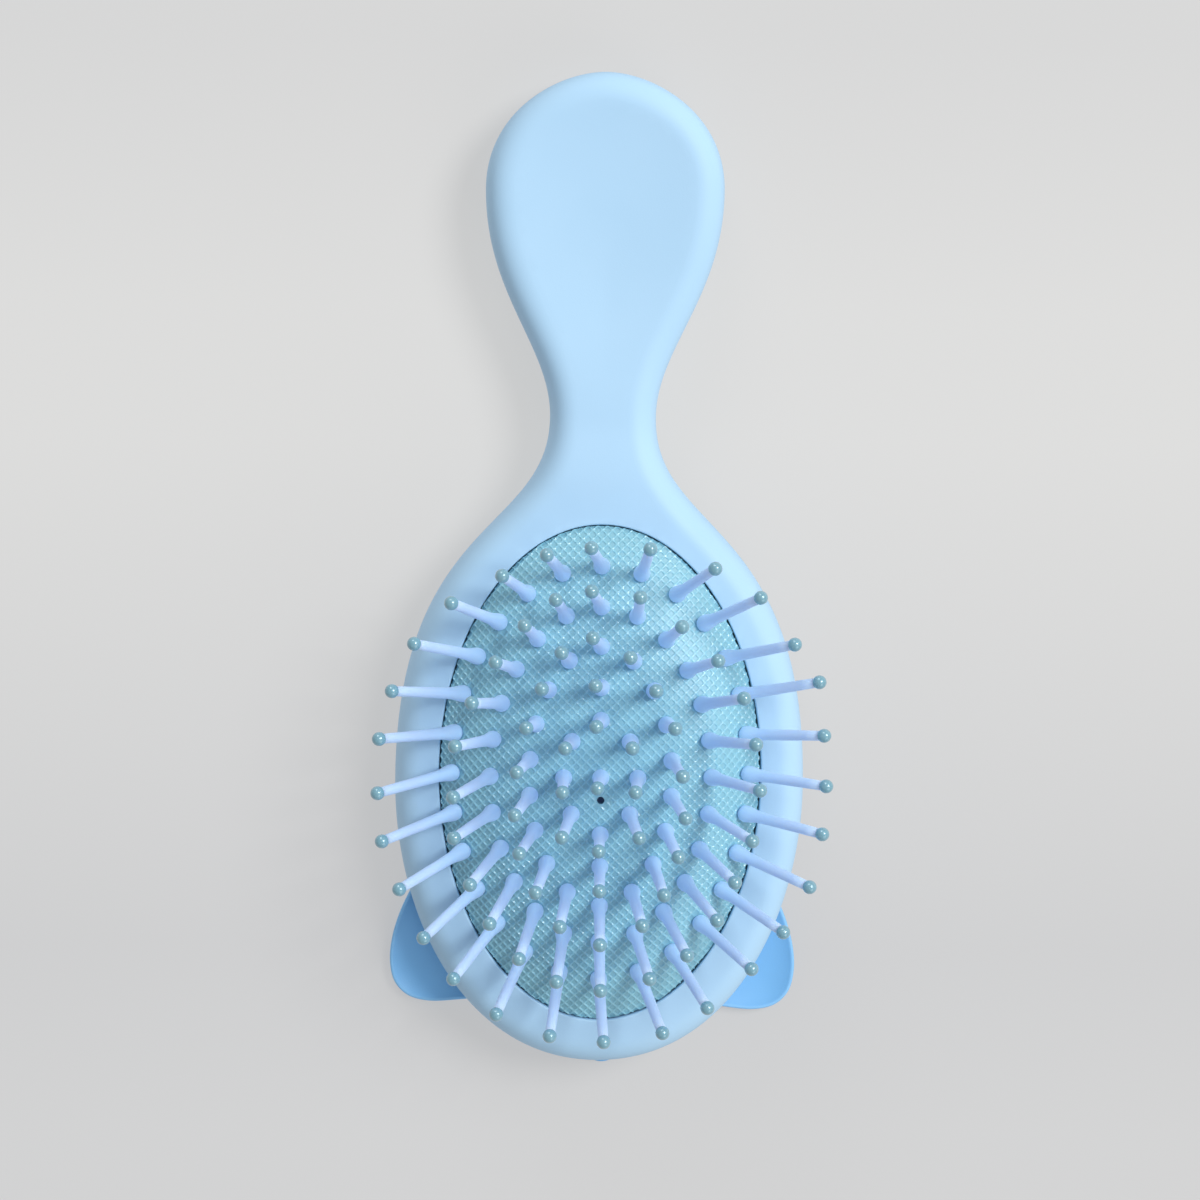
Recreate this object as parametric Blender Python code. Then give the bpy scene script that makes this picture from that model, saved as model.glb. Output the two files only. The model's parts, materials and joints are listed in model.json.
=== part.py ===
"""Small cushion brush, lying on its back with its pins up.

+Z is up and out of the brushing face, +Y runs towards the handle. The origin is on the surface
that the brush lies on, under the middle of its length. All sizes are in metres.
"""

import math

import bmesh
import bpy
from mathutils import Vector
from mathutils.geometry import delaunay_2d_cdt

# Oval opening of the head, placed from the middle of the pins, and the rim round it
OPENING_HALF_WIDTH = 0.0277
OPENING_HALF_LENGTH = 0.0431
OPENING_DROP = 0.0007
RIM_SIDE_WIDTH = 0.0078
RIM_TIP_WIDTH = 0.0085
OVAL_STEPS = 44

# Outline of the body, seen from the brushing face, with its lengths added up along the handle
WIDEST_DROP = 0.0032
NECK_RUN = 0.0173
NECK_HALF_WIDTH = 0.0091
BULB_RUN = 0.0388
BULB_HALF_WIDTH = 0.0204
HANDLE_END_RUN = 0.0199
# How far each curve of the outline runs on along its end tangents, as shares of its own span
END_CURVE_SHARES = (0.39, 0.67)
BULB_CURVE_SHARES = (0.47, 0.31)
NECK_CURVE_SHARES = (0.32, 0.73)
HEAD_CURVE_SHARES = (0.48, 0.66)
OUTLINE_STEPS = 9

# Heights of the body above the surface that it lies on
PARTING_HEIGHT = 0.008
HEAD_FACE_HEIGHT = 0.016
NECK_FACE_HEIGHT = 0.0152
BULB_FACE_HEIGHT = 0.0144
HEAD_BACK_HEIGHT = 0.0036
NECK_BACK_HEIGHT = 0.0042
HEAD_FLAT_RUN = 0.0059
HANDLE_SLOPE_RUN = 0.0256
BULB_DISH = 0.0007

# Shells of the body
SHELL_WALL = 0.0022
FACE_EDGE = 0.005
BACK_EDGE = 0.0065
EDGE_FULLNESS = 2.4
EDGE_STEPS = 4
SPINE_STEPS = 3
SEAM_GAP = 0.0003
HANDLE_SPINE_SHARE = 0.8
HEAD_SPINE_SHARE = 0.45

# Rubber cushion
FIT_GAP = 0.0003
CUSHION_WALL = 0.0012
CUSHION_CROWN = 0.0086
CUSHION_EDGE_DEPTH = 0.0016
CUSHION_FLANGE = 0.0018
CUSHION_FLANGE_THICKNESS = 0.0012
CROWN_POWER_ACROSS = 4.15
CROWN_POWER_ALONG = 2.35
SLOPE_STEP = 0.00001
HOLE_SIDES = 5
HOLE_GAP = 0.0002
VENT_RADIUS = 0.00065
VENT_DROP = 0.004

# Base plate under the cushion
BASE_THICKNESS = 0.0016
BASE_EDGE = 0.0004
COLLAR_HEIGHT = 0.0012
COLLAR_WALL = 0.0012
RIB_WIDTH = 0.0014
RIB_HEIGHT = 0.002
RIB_LENGTH_SHARE = 0.8
POST_RADIUS = 0.0022
POST_SPREAD_SHARES = (0.47, 0.49)

# Pegs that join the two shells in the handle, placed by shares of its length from the neck
PEG_RADIUS = 0.0016
PEG_LENGTH = 0.0035
PEG_GAP = 0.0004
BOSS_RADIUS = 0.0034
PEG_PLACE_SHARES = (0.74, 0.37, 0.03)
ROUND_SIDES = 16

# Pins, in ovals whose half width and half length are shares of the opening's
OUTER_OVAL_SHARES = (0.895, 0.821)
OUTER_PINS = 28
SECOND_OVAL_SHARES = (0.668, 0.664)
SECOND_PINS = 24
THIRD_OVAL_SHARES = (0.435, 0.513)
THIRD_PINS = 18
INNER_OVAL_SHARES = (0.228, 0.227)
INNER_PINS = 8
ROW_END_SHARE = 0.354
PIN_LEAN_SHARE = 1.1
PIN_LENGTH = 0.0175
PIN_ROOT_RADIUS = 0.00122
PIN_ROOT_LENGTH = 0.001
PIN_TAPER_LENGTH = 0.0034
PIN_SHAFT_RADIUS = 0.0008
PIN_NECK_RADIUS = 0.00072
PIN_SIDES = 6
TIP_RADIUS = 0.00116
TIP_CROWN_SHARES = (0.64, 0.77)
FOOT_WIDTH = 0.0028
FOOT_THICKNESS = 0.0008
FOOT_GAP = 0.0005
ARC_TRACE_STEPS = 720

# Ear plate on the back of the head, and the foam pad that holds it
PLATE_HALF_WIDTH = 0.029
PLATE_HALF_LENGTH = 0.0405
PLATE_THICKNESS = 0.0026
PLATE_EDGE = 0.0018
PLATE_TURN = math.radians(-1.5)
PLATE_SHIFT = 0.0005
EAR_CORNERS = (
    (0.0262, -0.0205, 0.005),
    (0.0300, -0.0388, 0.0058),
    (0.0130, -0.0372, 0.0055),
)
EAR_RISE = 0.0005
EAR_RIM = 0.0012
EAR_DISH_DEPTH = 0.0013
EAR_STEPS = 5
CREST_CORNERS = ((0.0, -0.0510, 0.0035), (0.0, -0.0400, 0.0080))
PAD_HALF_WIDTH = 0.0155
PAD_HALF_LENGTH = 0.0215
PAD_RECESS = 0.001
CUT_OVERRUN = 0.004
WELD = 0.000001
SHARP_ANGLE = math.radians(35)

# Heights and places that follow from the sizes above
HEAD_HALF_WIDTH = OPENING_HALF_WIDTH + RIM_SIDE_WIDTH
HEAD_REACH = OPENING_HALF_LENGTH + OPENING_DROP + RIM_TIP_WIDTH
HEAD_FLAT_REACH = OPENING_HALF_LENGTH + HEAD_FLAT_RUN
NECK_REACH = OPENING_HALF_LENGTH + NECK_RUN
BULB_FLAT_REACH = NECK_REACH + HANDLE_SLOPE_RUN
BULB_REACH = NECK_REACH + BULB_RUN
HANDLE_REACH = BULB_REACH + HANDLE_END_RUN
PEG_REACHES = [NECK_REACH + (HANDLE_REACH - NECK_REACH) * share for share in PEG_PLACE_SHARES]
CREST_REACH = CREST_CORNERS[0][2] - CREST_CORNERS[0][1] * math.cos(PLATE_TURN)
CENTRE_SHIFT = (HANDLE_REACH - CREST_REACH) / 2
CUSHION_EDGE_HEIGHT = HEAD_FACE_HEIGHT - CUSHION_EDGE_DEPTH
CUSHION_HALF_WIDTH = OPENING_HALF_WIDTH - FIT_GAP
CUSHION_HALF_LENGTH = OPENING_HALF_LENGTH - FIT_GAP
LIP_UNDERSIDE = HEAD_FACE_HEIGHT - SHELL_WALL
FLANGE_TOP = LIP_UNDERSIDE - FIT_GAP
FLANGE_BOTTOM = FLANGE_TOP - CUSHION_FLANGE_THICKNESS
BASE_TOP = FLANGE_BOTTOM - FIT_GAP
BASE_BOTTOM = BASE_TOP - BASE_THICKNESS


def clear_scene():
    for old in list(bpy.data.objects):
        bpy.data.objects.remove(old, do_unlink=True)


def plastic(name, color, roughness):
    """Principled material of one moulded piece."""
    material = bpy.data.materials.new(name)
    material.use_nodes = True
    shader = material.node_tree.nodes["Principled BSDF"]
    shader.inputs["Base Color"].default_value = (*color, 1.0)
    shader.inputs["Roughness"].default_value = roughness
    shader.inputs["Metallic"].default_value = 0.0
    return material


def empty(name, parent=None, location=(0, 0, 0)):
    holder = bpy.data.objects.new(name, None)
    bpy.context.scene.collection.objects.link(holder)
    holder.parent = parent
    holder.location = location
    return holder


def add_object(name, points, faces, parent, material=None, location=(0, 0, 0)):
    """Mesh object whose faces are turned outwards and whose doubled points are welded."""
    work = bmesh.new()
    corners = [work.verts.new(point) for point in points]
    for face in faces:
        work.faces.new([corners[index] for index in face])
    bmesh.ops.remove_doubles(work, verts=work.verts, dist=WELD)
    bmesh.ops.dissolve_degenerate(work, edges=work.edges, dist=WELD)
    bmesh.ops.recalc_face_normals(work, faces=work.faces)
    mesh = bpy.data.meshes.new(name)
    work.to_mesh(mesh)
    work.free()
    mesh.shade_smooth()
    mesh.set_sharp_from_angle(angle=SHARP_ANGLE)
    made = bpy.data.objects.new(name, mesh)
    bpy.context.scene.collection.objects.link(made)
    made.parent = parent
    made.location = location
    if material:
        mesh.materials.append(material)
    return made


def as_tool(tool):
    """Hides a cutter or a joined form from renders."""
    tool.hide_render = True
    tool.display_type = "WIRE"
    return tool


def combine(target, tool, operation):
    step = target.modifiers.new(f"{operation.lower()}_{tool.name}", "BOOLEAN")
    step.operation = operation
    step.solver = "EXACT"
    step.object = as_tool(tool)


def band(low, high, count):
    """Quads between two rings whose first points have the indices low and high."""
    return [
        (low + i, low + (i + 1) % count, high + (i + 1) % count, high + i)
        for i in range(count)
    ]


def loft(rings, cap_start=False, cap_end=False):
    """Points and faces of a skin through rings that have the same number of points."""
    count = len(rings[0])
    points = [point for ring in rings for point in ring]
    faces = []
    for level in range(len(rings) - 1):
        faces += band(level * count, (level + 1) * count, count)
    last = (len(rings) - 1) * count
    if cap_start:
        faces.append(tuple(range(count)))
    if cap_end:
        faces.append(tuple(range(last, last + count)))
    return points, faces


def lift(flat, height):
    return [Vector((point.x, point.y, height)) for point in flat]


def oval(half_width, half_length, drop=0.0, steps=OVAL_STEPS):
    """Oval about the middle of the cushion, from its handle end to the left."""
    ring = []
    for i in range(steps):
        turn = 2 * math.pi * i / steps
        ring.append(Vector((-half_width * math.sin(turn), half_length * math.cos(turn) - drop)))
    return ring


def disc(x, y, radius, sides=ROUND_SIDES):
    """Round outline with flats, not corners, on the lines through its middle along X and Y."""
    ring = []
    for i in range(sides):
        turn = 2 * math.pi * (i + 0.5) / sides
        ring.append(Vector((x + radius * math.cos(turn), y + radius * math.sin(turn))))
    return ring


def prism(name, flat, low, high, parent, material=None):
    points, faces = loft([lift(flat, low), lift(flat, high)], cap_start=True, cap_end=True)
    return add_object(name, points, faces, parent, material)


def inset(flat, distance):
    """The closed outline, moved inwards square to itself."""
    count = len(flat)
    area = sum(flat[i].cross(flat[(i + 1) % count]) for i in range(count))
    inward = 1 if area > 0 else -1
    moved = []
    for i in range(count):
        along = (flat[(i + 1) % count] - flat[i - 1]).normalized()
        moved.append(flat[i] + Vector((-along.y, along.x)) * inward * distance)
    return moved


def bezier(start, leave, arrive, end, steps):
    """Points of a cubic curve, without its last one."""
    points = []
    for i in range(steps):
        t = i / steps
        s = 1 - t
        blend = start * s**3 + leave * 3 * s * s * t + arrive * 3 * s * t * t + end * t**3
        points.append(blend)
    return points


def body_outline():
    """Closed outline of the body: down its right side from the handle end, then up its left."""
    handle_end = Vector((0, HANDLE_REACH))
    bulb = Vector((BULB_HALF_WIDTH, BULB_REACH))
    neck = Vector((NECK_HALF_WIDTH, NECK_REACH))
    widest = Vector((HEAD_HALF_WIDTH, -WIDEST_DROP))
    tip = Vector((0, -HEAD_REACH))
    across = Vector((1, 0))
    along = Vector((0, 1))
    side = []
    for start, end, shares in (
        (handle_end, bulb, END_CURVE_SHARES),
        (bulb, neck, BULB_CURVE_SHARES),
        (neck, widest, NECK_CURVE_SHARES),
        (widest, tip, HEAD_CURVE_SHARES),
    ):
        width = max(start.x, end.x)
        length = start.y - end.y
        leave = start - along * length * shares[0]
        arrive = end + along * length * shares[1]
        if start is handle_end:
            leave = start + across * width * shares[0]
        if end is tip:
            arrive = end + across * width * shares[1]
        side += bezier(start, leave, arrive, end, OUTLINE_STEPS)
    mirrored = [Vector((-point.x, point.y)) for point in reversed(side[1:])]
    return side + [tip] + mirrored


def ease(value, start, end):
    """Smooth rise from 0 at start to 1 at end."""
    share = min(max((value - start) / (end - start), 0), 1)
    return share * share * (3 - 2 * share)


def face_height(y):
    fall = (NECK_FACE_HEIGHT - HEAD_FACE_HEIGHT) * ease(y, HEAD_FLAT_REACH, NECK_REACH)
    return HEAD_FACE_HEIGHT + fall + (BULB_FACE_HEIGHT - NECK_FACE_HEIGHT) * ease(
        y, NECK_REACH, BULB_FLAT_REACH
    )


def back_height(y):
    rise = (NECK_BACK_HEIGHT - HEAD_BACK_HEIGHT) * ease(y, HEAD_FLAT_REACH, NECK_REACH)
    return HEAD_BACK_HEIGHT + rise - NECK_BACK_HEIGHT * ease(y, NECK_REACH, BULB_FLAT_REACH)


def bulb_dish(y, share):
    """Depth of the shallow hollow in the handle's face, share being 1 on its centre line."""
    return BULB_DISH * ease(y, NECK_REACH, BULB_FLAT_REACH) * (1 - (1 - share) ** 2)


def half_skin(outline, wall, edge, height_at, toward_face, dished=False):
    """Rings from the parting plane over the rounded edge, and on to the centre line."""
    sign = 1 if toward_face else -1
    start = PARTING_HEIGHT + sign * SEAM_GAP / 2
    rings = []
    for step in range(EDGE_STEPS + 1):
        turn = math.pi / 2 * step / EDGE_STEPS
        inward = edge * (1 - max(math.cos(turn), 0) ** (2 / EDGE_FULLNESS))
        share = math.sin(turn) ** (2 / EDGE_FULLNESS)
        ring = []
        for point in inset(outline, wall + inward):
            crown = height_at(point.y) - sign * wall
            ring.append(Vector((point.x, point.y, start + (crown - start) * share)))
        rings.append(ring)
    spine_top = HANDLE_REACH - BULB_HALF_WIDTH * HANDLE_SPINE_SHARE
    spine_bottom = -HEAD_REACH + HEAD_HALF_WIDTH * HEAD_SPINE_SHARE
    for step in range(1, SPINE_STEPS + 1):
        share = step / SPINE_STEPS
        ring = []
        for point in rings[EDGE_STEPS]:
            spine = Vector((0, min(max(point.y, spine_bottom), spine_top)))
            flat = point.xy.lerp(spine, share)
            height = height_at(flat.y) - sign * wall
            if dished:
                height -= bulb_dish(flat.y, share)
            ring.append(Vector((flat.x, flat.y, height)))
        rings.append(ring)
    return rings


def shell(name, outline, edge, height_at, toward_face, parent, material):
    """Half of the body: an outer skin and an inner one, joined by the land at the seam."""
    outer = half_skin(outline, 0, edge, height_at, toward_face, dished=toward_face)
    inner = half_skin(outline, SHELL_WALL, edge, height_at, toward_face)
    points, faces = loft(list(reversed(outer)) + inner)
    return add_object(name, points, faces, parent, material)


def front_shell(outline, parent, material):
    """Front half of handle and head, with the oval opening and the bosses for the pegs."""
    made = shell("front_shell", outline, FACE_EDGE, face_height, True, parent, material)
    opening = oval(OPENING_HALF_WIDTH, OPENING_HALF_LENGTH, OPENING_DROP)
    low = LIP_UNDERSIDE - CUT_OVERRUN
    cutter = prism("opening_cutter", opening, low, HEAD_FACE_HEIGHT + CUT_OVERRUN, parent)
    combine(made, cutter, "DIFFERENCE")
    for number, reach in enumerate(PEG_REACHES, 1):
        low = PARTING_HEIGHT + SEAM_GAP
        high = face_height(reach) - SHELL_WALL / 2 - BULB_DISH
        boss = prism(f"boss_{number}", disc(0, reach, BOSS_RADIUS), low, high, parent)
        combine(made, boss, "UNION")
        bore_end = PARTING_HEIGHT + PEG_LENGTH + PEG_GAP
        bore_ring = disc(0, reach, PEG_RADIUS + PEG_GAP)
        bore = prism(f"bore_{number}", bore_ring, low - CUT_OVERRUN, bore_end, parent)
        combine(made, bore, "DIFFERENCE")
    return made


def back_shell(outline, parent, material):
    """Back half of handle and head, with pegs for the bosses and posts for the base plate."""
    made = shell("back_shell", outline, BACK_EDGE, back_height, False, parent, material)
    for number, reach in enumerate(PEG_REACHES, 1):
        low = back_height(reach) + SHELL_WALL / 2
        high = PARTING_HEIGHT + PEG_LENGTH
        peg = prism(f"peg_{number}", disc(0, reach, PEG_RADIUS), low, high, parent)
        combine(made, peg, "UNION")
    low = HEAD_BACK_HEIGHT + SHELL_WALL / 2
    high = BASE_BOTTOM - FIT_GAP
    for across in (-1, 1):
        for along in (-1, 1):
            x = OPENING_HALF_WIDTH * POST_SPREAD_SHARES[0] * across
            y = OPENING_HALF_LENGTH * POST_SPREAD_SHARES[1] * along
            name = f"post_{'right' if across > 0 else 'left'}_{'top' if along > 0 else 'bottom'}"
            post = prism(name, disc(x, y, POST_RADIUS), low, high, parent)
            combine(made, post, "UNION")
    return made


def base_plate(parent, material):
    """Oval plate that clamps the cushion's flange: a collar above, crossed ribs below."""
    half_width = OPENING_HALF_WIDTH + CUSHION_FLANGE
    half_length = OPENING_HALF_LENGTH + CUSHION_FLANGE
    collar_x = CUSHION_HALF_WIDTH - CUSHION_WALL - FIT_GAP
    collar_y = CUSHION_HALF_LENGTH - CUSHION_WALL - FIT_GAP
    collar_top = BASE_TOP + COLLAR_HEIGHT
    rings = [
        lift(oval(half_width - BASE_EDGE, half_length - BASE_EDGE, OPENING_DROP), BASE_BOTTOM),
        lift(oval(half_width, half_length, OPENING_DROP), BASE_BOTTOM + BASE_EDGE),
        lift(oval(half_width, half_length, OPENING_DROP), BASE_TOP),
        lift(oval(collar_x, collar_y, OPENING_DROP), BASE_TOP),
        lift(oval(collar_x, collar_y, OPENING_DROP), collar_top),
        lift(oval(collar_x - COLLAR_WALL, collar_y - COLLAR_WALL, OPENING_DROP), collar_top),
        lift(oval(collar_x - COLLAR_WALL, collar_y - COLLAR_WALL, OPENING_DROP), BASE_TOP),
    ]
    points, faces = loft(rings, cap_start=True, cap_end=True)
    made = add_object("cushion_base_plate", points, faces, parent, material)
    low = BASE_BOTTOM - RIB_HEIGHT
    high = BASE_BOTTOM + BASE_THICKNESS / 2
    for name, x, y in (
        ("rib_across", half_width * RIB_LENGTH_SHARE, RIB_WIDTH / 2),
        ("rib_along", RIB_WIDTH / 2, half_length * RIB_LENGTH_SHARE),
    ):
        ring = [Vector((-x, -y)), Vector((x, -y)), Vector((x, y)), Vector((-x, y))]
        combine(made, prism(name, ring, low, high, parent), "UNION")
    return made


def crown_height(x, y):
    """Height of the cushion's outer skin above its edge, at a place in the opening."""
    across = x / CUSHION_HALF_WIDTH
    along = (y + OPENING_DROP) / CUSHION_HALF_LENGTH
    reach = math.hypot(across, along)
    if reach == 0:
        return CUSHION_CROWN
    side = (across / reach) ** 2
    power = CROWN_POWER_ACROSS * side + CROWN_POWER_ALONG * (1 - side)
    return CUSHION_CROWN * (1 - reach**power)


def crown_normal(x, y):
    """Direction square to the cushion's outer skin, found from its slopes."""
    run = 2 * SLOPE_STEP
    slope_x = (crown_height(x + SLOPE_STEP, y) - crown_height(x - SLOPE_STEP, y)) / run
    slope_y = (crown_height(x, y + SLOPE_STEP) - crown_height(x, y - SLOPE_STEP)) / run
    return Vector((-slope_x, -slope_y, 1)).normalized()


def crown_point(x, y):
    return Vector((x, y, CUSHION_EDGE_HEIGHT + crown_height(x, y)))


def cushion(parent, material, pins):
    """Rubber dome with a hole for each pin, a short skirt, and a flange under the lip."""
    rim = oval(CUSHION_HALF_WIDTH, CUSHION_HALF_LENGTH, OPENING_DROP)
    holes = [hole_ring(base) for base, axis in pins]
    holes.append(disc(0, -VENT_DROP, VENT_RADIUS, HOLE_SIDES))
    through = [axis for base, axis in pins] + [crown_normal(0, -VENT_DROP)]
    plan = rim + [place for hole in holes for place in hole]
    net = delaunay_2d_cdt(plan, [], [], 0, WELD)[2]

    count = len(plan)
    points = [crown_point(place.x, place.y) for place in plan]
    points += [point - crown_normal(point.x, point.y) * CUSHION_WALL for point in points]
    faces = []
    for face in net:
        owners = {(index - OVAL_STEPS) // HOLE_SIDES if index >= OVAL_STEPS else -1 for index in face}
        if len(owners) > 1 or owners == {-1}:
            faces.append(tuple(face))
            faces.append(tuple(count + index for index in reversed(face)))
    for number, axis in enumerate(through):
        start = OVAL_STEPS + HOLE_SIDES * number
        for index in range(start, start + HOLE_SIDES):
            points[count + index] = points[index] - axis * CUSHION_WALL
        faces += band(start, count + start, HOLE_SIDES)

    flange_x = OPENING_HALF_WIDTH + CUSHION_FLANGE
    flange_y = OPENING_HALF_LENGTH + CUSHION_FLANGE
    skirt_x = CUSHION_HALF_WIDTH - CUSHION_WALL
    skirt_y = CUSHION_HALF_LENGTH - CUSHION_WALL
    skirt = lift(oval(skirt_x, skirt_y, OPENING_DROP), FLANGE_TOP)
    points[count : count + OVAL_STEPS] = skirt
    edge = [
        points[:OVAL_STEPS],
        lift(rim, FLANGE_TOP),
        lift(oval(flange_x, flange_y, OPENING_DROP), FLANGE_TOP),
        lift(oval(flange_x, flange_y, OPENING_DROP), FLANGE_BOTTOM),
        lift(oval(skirt_x, skirt_y, OPENING_DROP), FLANGE_BOTTOM),
        skirt,
    ]
    offset = len(points)
    edge_points, edge_faces = loft(edge)
    points += edge_points
    faces += [tuple(offset + index for index in face) for face in edge_faces]
    return add_object("air_cushion", points, faces, parent, material)


def hole_ring(base):
    """Plan of a hole in the sloping dome that clears the root of its pin all round."""
    radius = (PIN_ROOT_RADIUS + HOLE_GAP) / math.cos(math.pi / HOLE_SIDES)
    normal = crown_normal(base.x, base.y)
    sideways = normal.xy.normalized() if normal.xy.length > SLOPE_STEP else Vector((1, 0))
    along = Vector((-sideways.y, sideways.x))
    ring = []
    for i in range(HOLE_SIDES):
        turn = 2 * math.pi * i / HOLE_SIDES
        across = sideways * math.cos(turn) * normal.z
        ring.append(base.xy + (across + along * math.sin(turn)) * radius)
    return ring


def add_loft(points, faces, rings):
    """Adds a closed skin through the rings to a list of points and a list of faces."""
    first = len(points)
    new_points, new_faces = loft(rings, cap_start=True, cap_end=True)
    points += new_points
    faces += [tuple(first + index for index in face) for face in new_faces]


def pin_ring(base, axis, distance, radius):
    """Ring square to a pin, at a distance along it from the cushion's skin."""
    side = axis.cross(Vector((0, 1, 0))).normalized()
    other = axis.cross(side)
    middle = base + axis * distance
    ring = []
    for i in range(PIN_SIDES):
        turn = 2 * math.pi * i / PIN_SIDES
        ring.append(middle + side * radius * math.cos(turn) + other * radius * math.sin(turn))
    return ring


def oval_pins(shares, count):
    """Pins at equal steps along an oval, from its handle end to the left."""
    half_width = OPENING_HALF_WIDTH * shares[0]
    half_length = OPENING_HALF_LENGTH * shares[1]
    trace = oval(half_width, half_length, 0, ARC_TRACE_STEPS)
    trace.append(trace[0])
    travelled = [0.0]
    for i in range(ARC_TRACE_STEPS):
        travelled.append(travelled[-1] + (trace[i + 1] - trace[i]).length)
    pins = []
    mark = 0
    for number in range(count):
        goal = travelled[-1] * number / count
        while travelled[mark + 1] < goal:
            mark += 1
        share = (goal - travelled[mark]) / (travelled[mark + 1] - travelled[mark])
        pins.append(pin_at(trace[mark].lerp(trace[mark + 1], share)))
    return pins


def pin_at(place):
    """Root and direction of a pin: it leans a little more than the cushion's skin."""
    normal = crown_normal(place.x, place.y)
    slope = math.acos(min(normal.z, 1))
    if slope == 0:
        return crown_point(place.x, place.y), normal
    sideways = Vector((normal.x, normal.y, 0)).normalized()
    lean = slope * PIN_LEAN_SHARE
    axis = sideways * math.sin(lean) + Vector((0, 0, 1)) * math.cos(lean)
    return crown_point(place.x, place.y), axis


def pin_groups():
    """Pins by node name. Each node is one side of an oval, or the row along the middle."""
    groups = {}
    for name, shares, count in (
        ("outer", OUTER_OVAL_SHARES, OUTER_PINS),
        ("second", SECOND_OVAL_SHARES, SECOND_PINS),
        ("third", THIRD_OVAL_SHARES, THIRD_PINS),
    ):
        pins = oval_pins(shares, count)
        half = count // 2
        quarter = count // 4
        ends = quarter // 2 if quarter % 2 else quarter // 2 - 1
        end_numbers = range(-ends, ends + 1)
        side_numbers = range(ends + 1, half - ends)
        groups[f"{name}_pins_top"] = [pins[i] for i in end_numbers]
        groups[f"{name}_pins_left"] = [pins[i] for i in side_numbers]
        groups[f"{name}_pins_bottom"] = [pins[half + i] for i in end_numbers]
        groups[f"{name}_pins_right"] = [pins[half + i] for i in side_numbers]
    inner = oval_pins(INNER_OVAL_SHARES, INNER_PINS)
    half = INNER_PINS // 2
    groups["inner_pins_left"] = inner[1:half]
    groups["inner_pins_right"] = inner[half + 1 :]
    row_end = OPENING_HALF_LENGTH * ROW_END_SHARE
    top, middle, bottom = (pin_at(Vector((0, reach))) for reach in (row_end, 0, -row_end))
    groups["middle_row_pins"] = [top, inner[0], middle, inner[half], bottom]
    return groups


def pin_rings(base, axis):
    """Rings of one pin, from inside the strip that it stands on to the top of its ball."""
    crown_radius, crown_rise = TIP_CROWN_SHARES
    profile = (
        (-CUSHION_WALL - FOOT_GAP - FOOT_THICKNESS / 2, PIN_ROOT_RADIUS),
        (PIN_ROOT_LENGTH, PIN_ROOT_RADIUS),
        (PIN_TAPER_LENGTH, PIN_SHAFT_RADIUS),
        (PIN_LENGTH - TIP_RADIUS * crown_rise, PIN_NECK_RADIUS),
        (PIN_LENGTH, TIP_RADIUS),
        (PIN_LENGTH + TIP_RADIUS * crown_rise, TIP_RADIUS * crown_radius),
        (PIN_LENGTH + TIP_RADIUS, 0),
    )
    return [pin_ring(base, axis, distance, radius) for distance, radius in profile]


def pin_group(name, pins, parent, material):
    """Pins of one node, which stand on one strip below the cushion."""
    points = []
    faces = []
    for base, axis in pins:
        rings = pin_rings(base, axis)
        first = len(points)
        new_points, new_faces = loft(rings[:-1], cap_start=True)
        top = first + len(new_points)
        points += new_points
        points.append(rings[-1][0])
        faces += [tuple(first + index for index in face) for face in new_faces]
        last = top - PIN_SIDES
        faces += [(last + i, last + (i + 1) % PIN_SIDES, top) for i in range(PIN_SIDES)]
    made = add_object(name, points, faces, parent, material)
    combine(made, foot_strip(f"{name}_strip", pins, parent), "UNION")
    return made


def foot_strip(name, pins, parent):
    """Thin strip that follows the underside of the cushion from the first pin to the last."""
    normals = [crown_normal(base.x, base.y) for base, axis in pins]
    feet = [pin[0] - normal * (CUSHION_WALL + FOOT_GAP) for pin, normal in zip(pins, normals)]
    for end, beside in ((0, 1), (-1, -2)):
        away = feet[end] - feet[beside]
        away -= normals[end] * away.dot(normals[end])
        further = feet[end] + away.normalized() * FOOT_WIDTH / 2
        feet.insert(0 if end == 0 else len(feet), further)
        normals.insert(0 if end == 0 else len(normals), normals[end])
    rings = []
    for i, foot in enumerate(feet):
        along = feet[min(i + 1, len(feet) - 1)] - feet[max(i - 1, 0)]
        side = normals[i].cross(along).normalized() * FOOT_WIDTH / 2
        down = normals[i] * -FOOT_THICKNESS
        rings.append([foot - side, foot + side, foot + side + down, foot - side + down])
    points = []
    faces = []
    add_loft(points, faces, rings)
    return add_object(name, points, faces, parent)


def hull_of_corners(corners, steps):
    """Outline of the band stretched round circles that are listed clockwise."""
    outline = []
    count = len(corners)
    for number, (x, y, radius) in enumerate(corners):
        before = corners[number - 1]
        after = corners[(number + 1) % count]
        start = outward_turn(before, corners[number])
        end = outward_turn(corners[number], after)
        while end > start:
            end -= 2 * math.pi
        for step in range(steps + 1):
            turn = start + (end - start) * step / steps
            outline.append(Vector((x + radius * math.cos(turn), y + radius * math.sin(turn))))
    return outline


def outward_turn(first, second):
    """Direction square to the tangent line that runs from one circle to the next."""
    run = Vector((second[0] - first[0], second[1] - first[1]))
    return math.atan2(run.y, run.x) + math.acos((first[2] - second[2]) / run.length)


def mirrored(corners):
    return tuple((-x, y, radius) for x, y, radius in reversed(corners))


def rounded_slab(name, flat, low, high, edge, parent, material=None):
    """Flat slab whose lower rim is rounded, so that it looks pressed from behind."""
    rings = []
    for step in range(EDGE_STEPS):
        turn = math.pi / 2 * step / (EDGE_STEPS - 1)
        rings.append(lift(inset(flat, edge * (1 - math.sin(turn))), low + edge * (1 - math.cos(turn))))
    rings.append(lift(flat, high))
    points, faces = loft(rings, cap_start=True, cap_end=True)
    return add_object(name, points, faces, parent, material)


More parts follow.
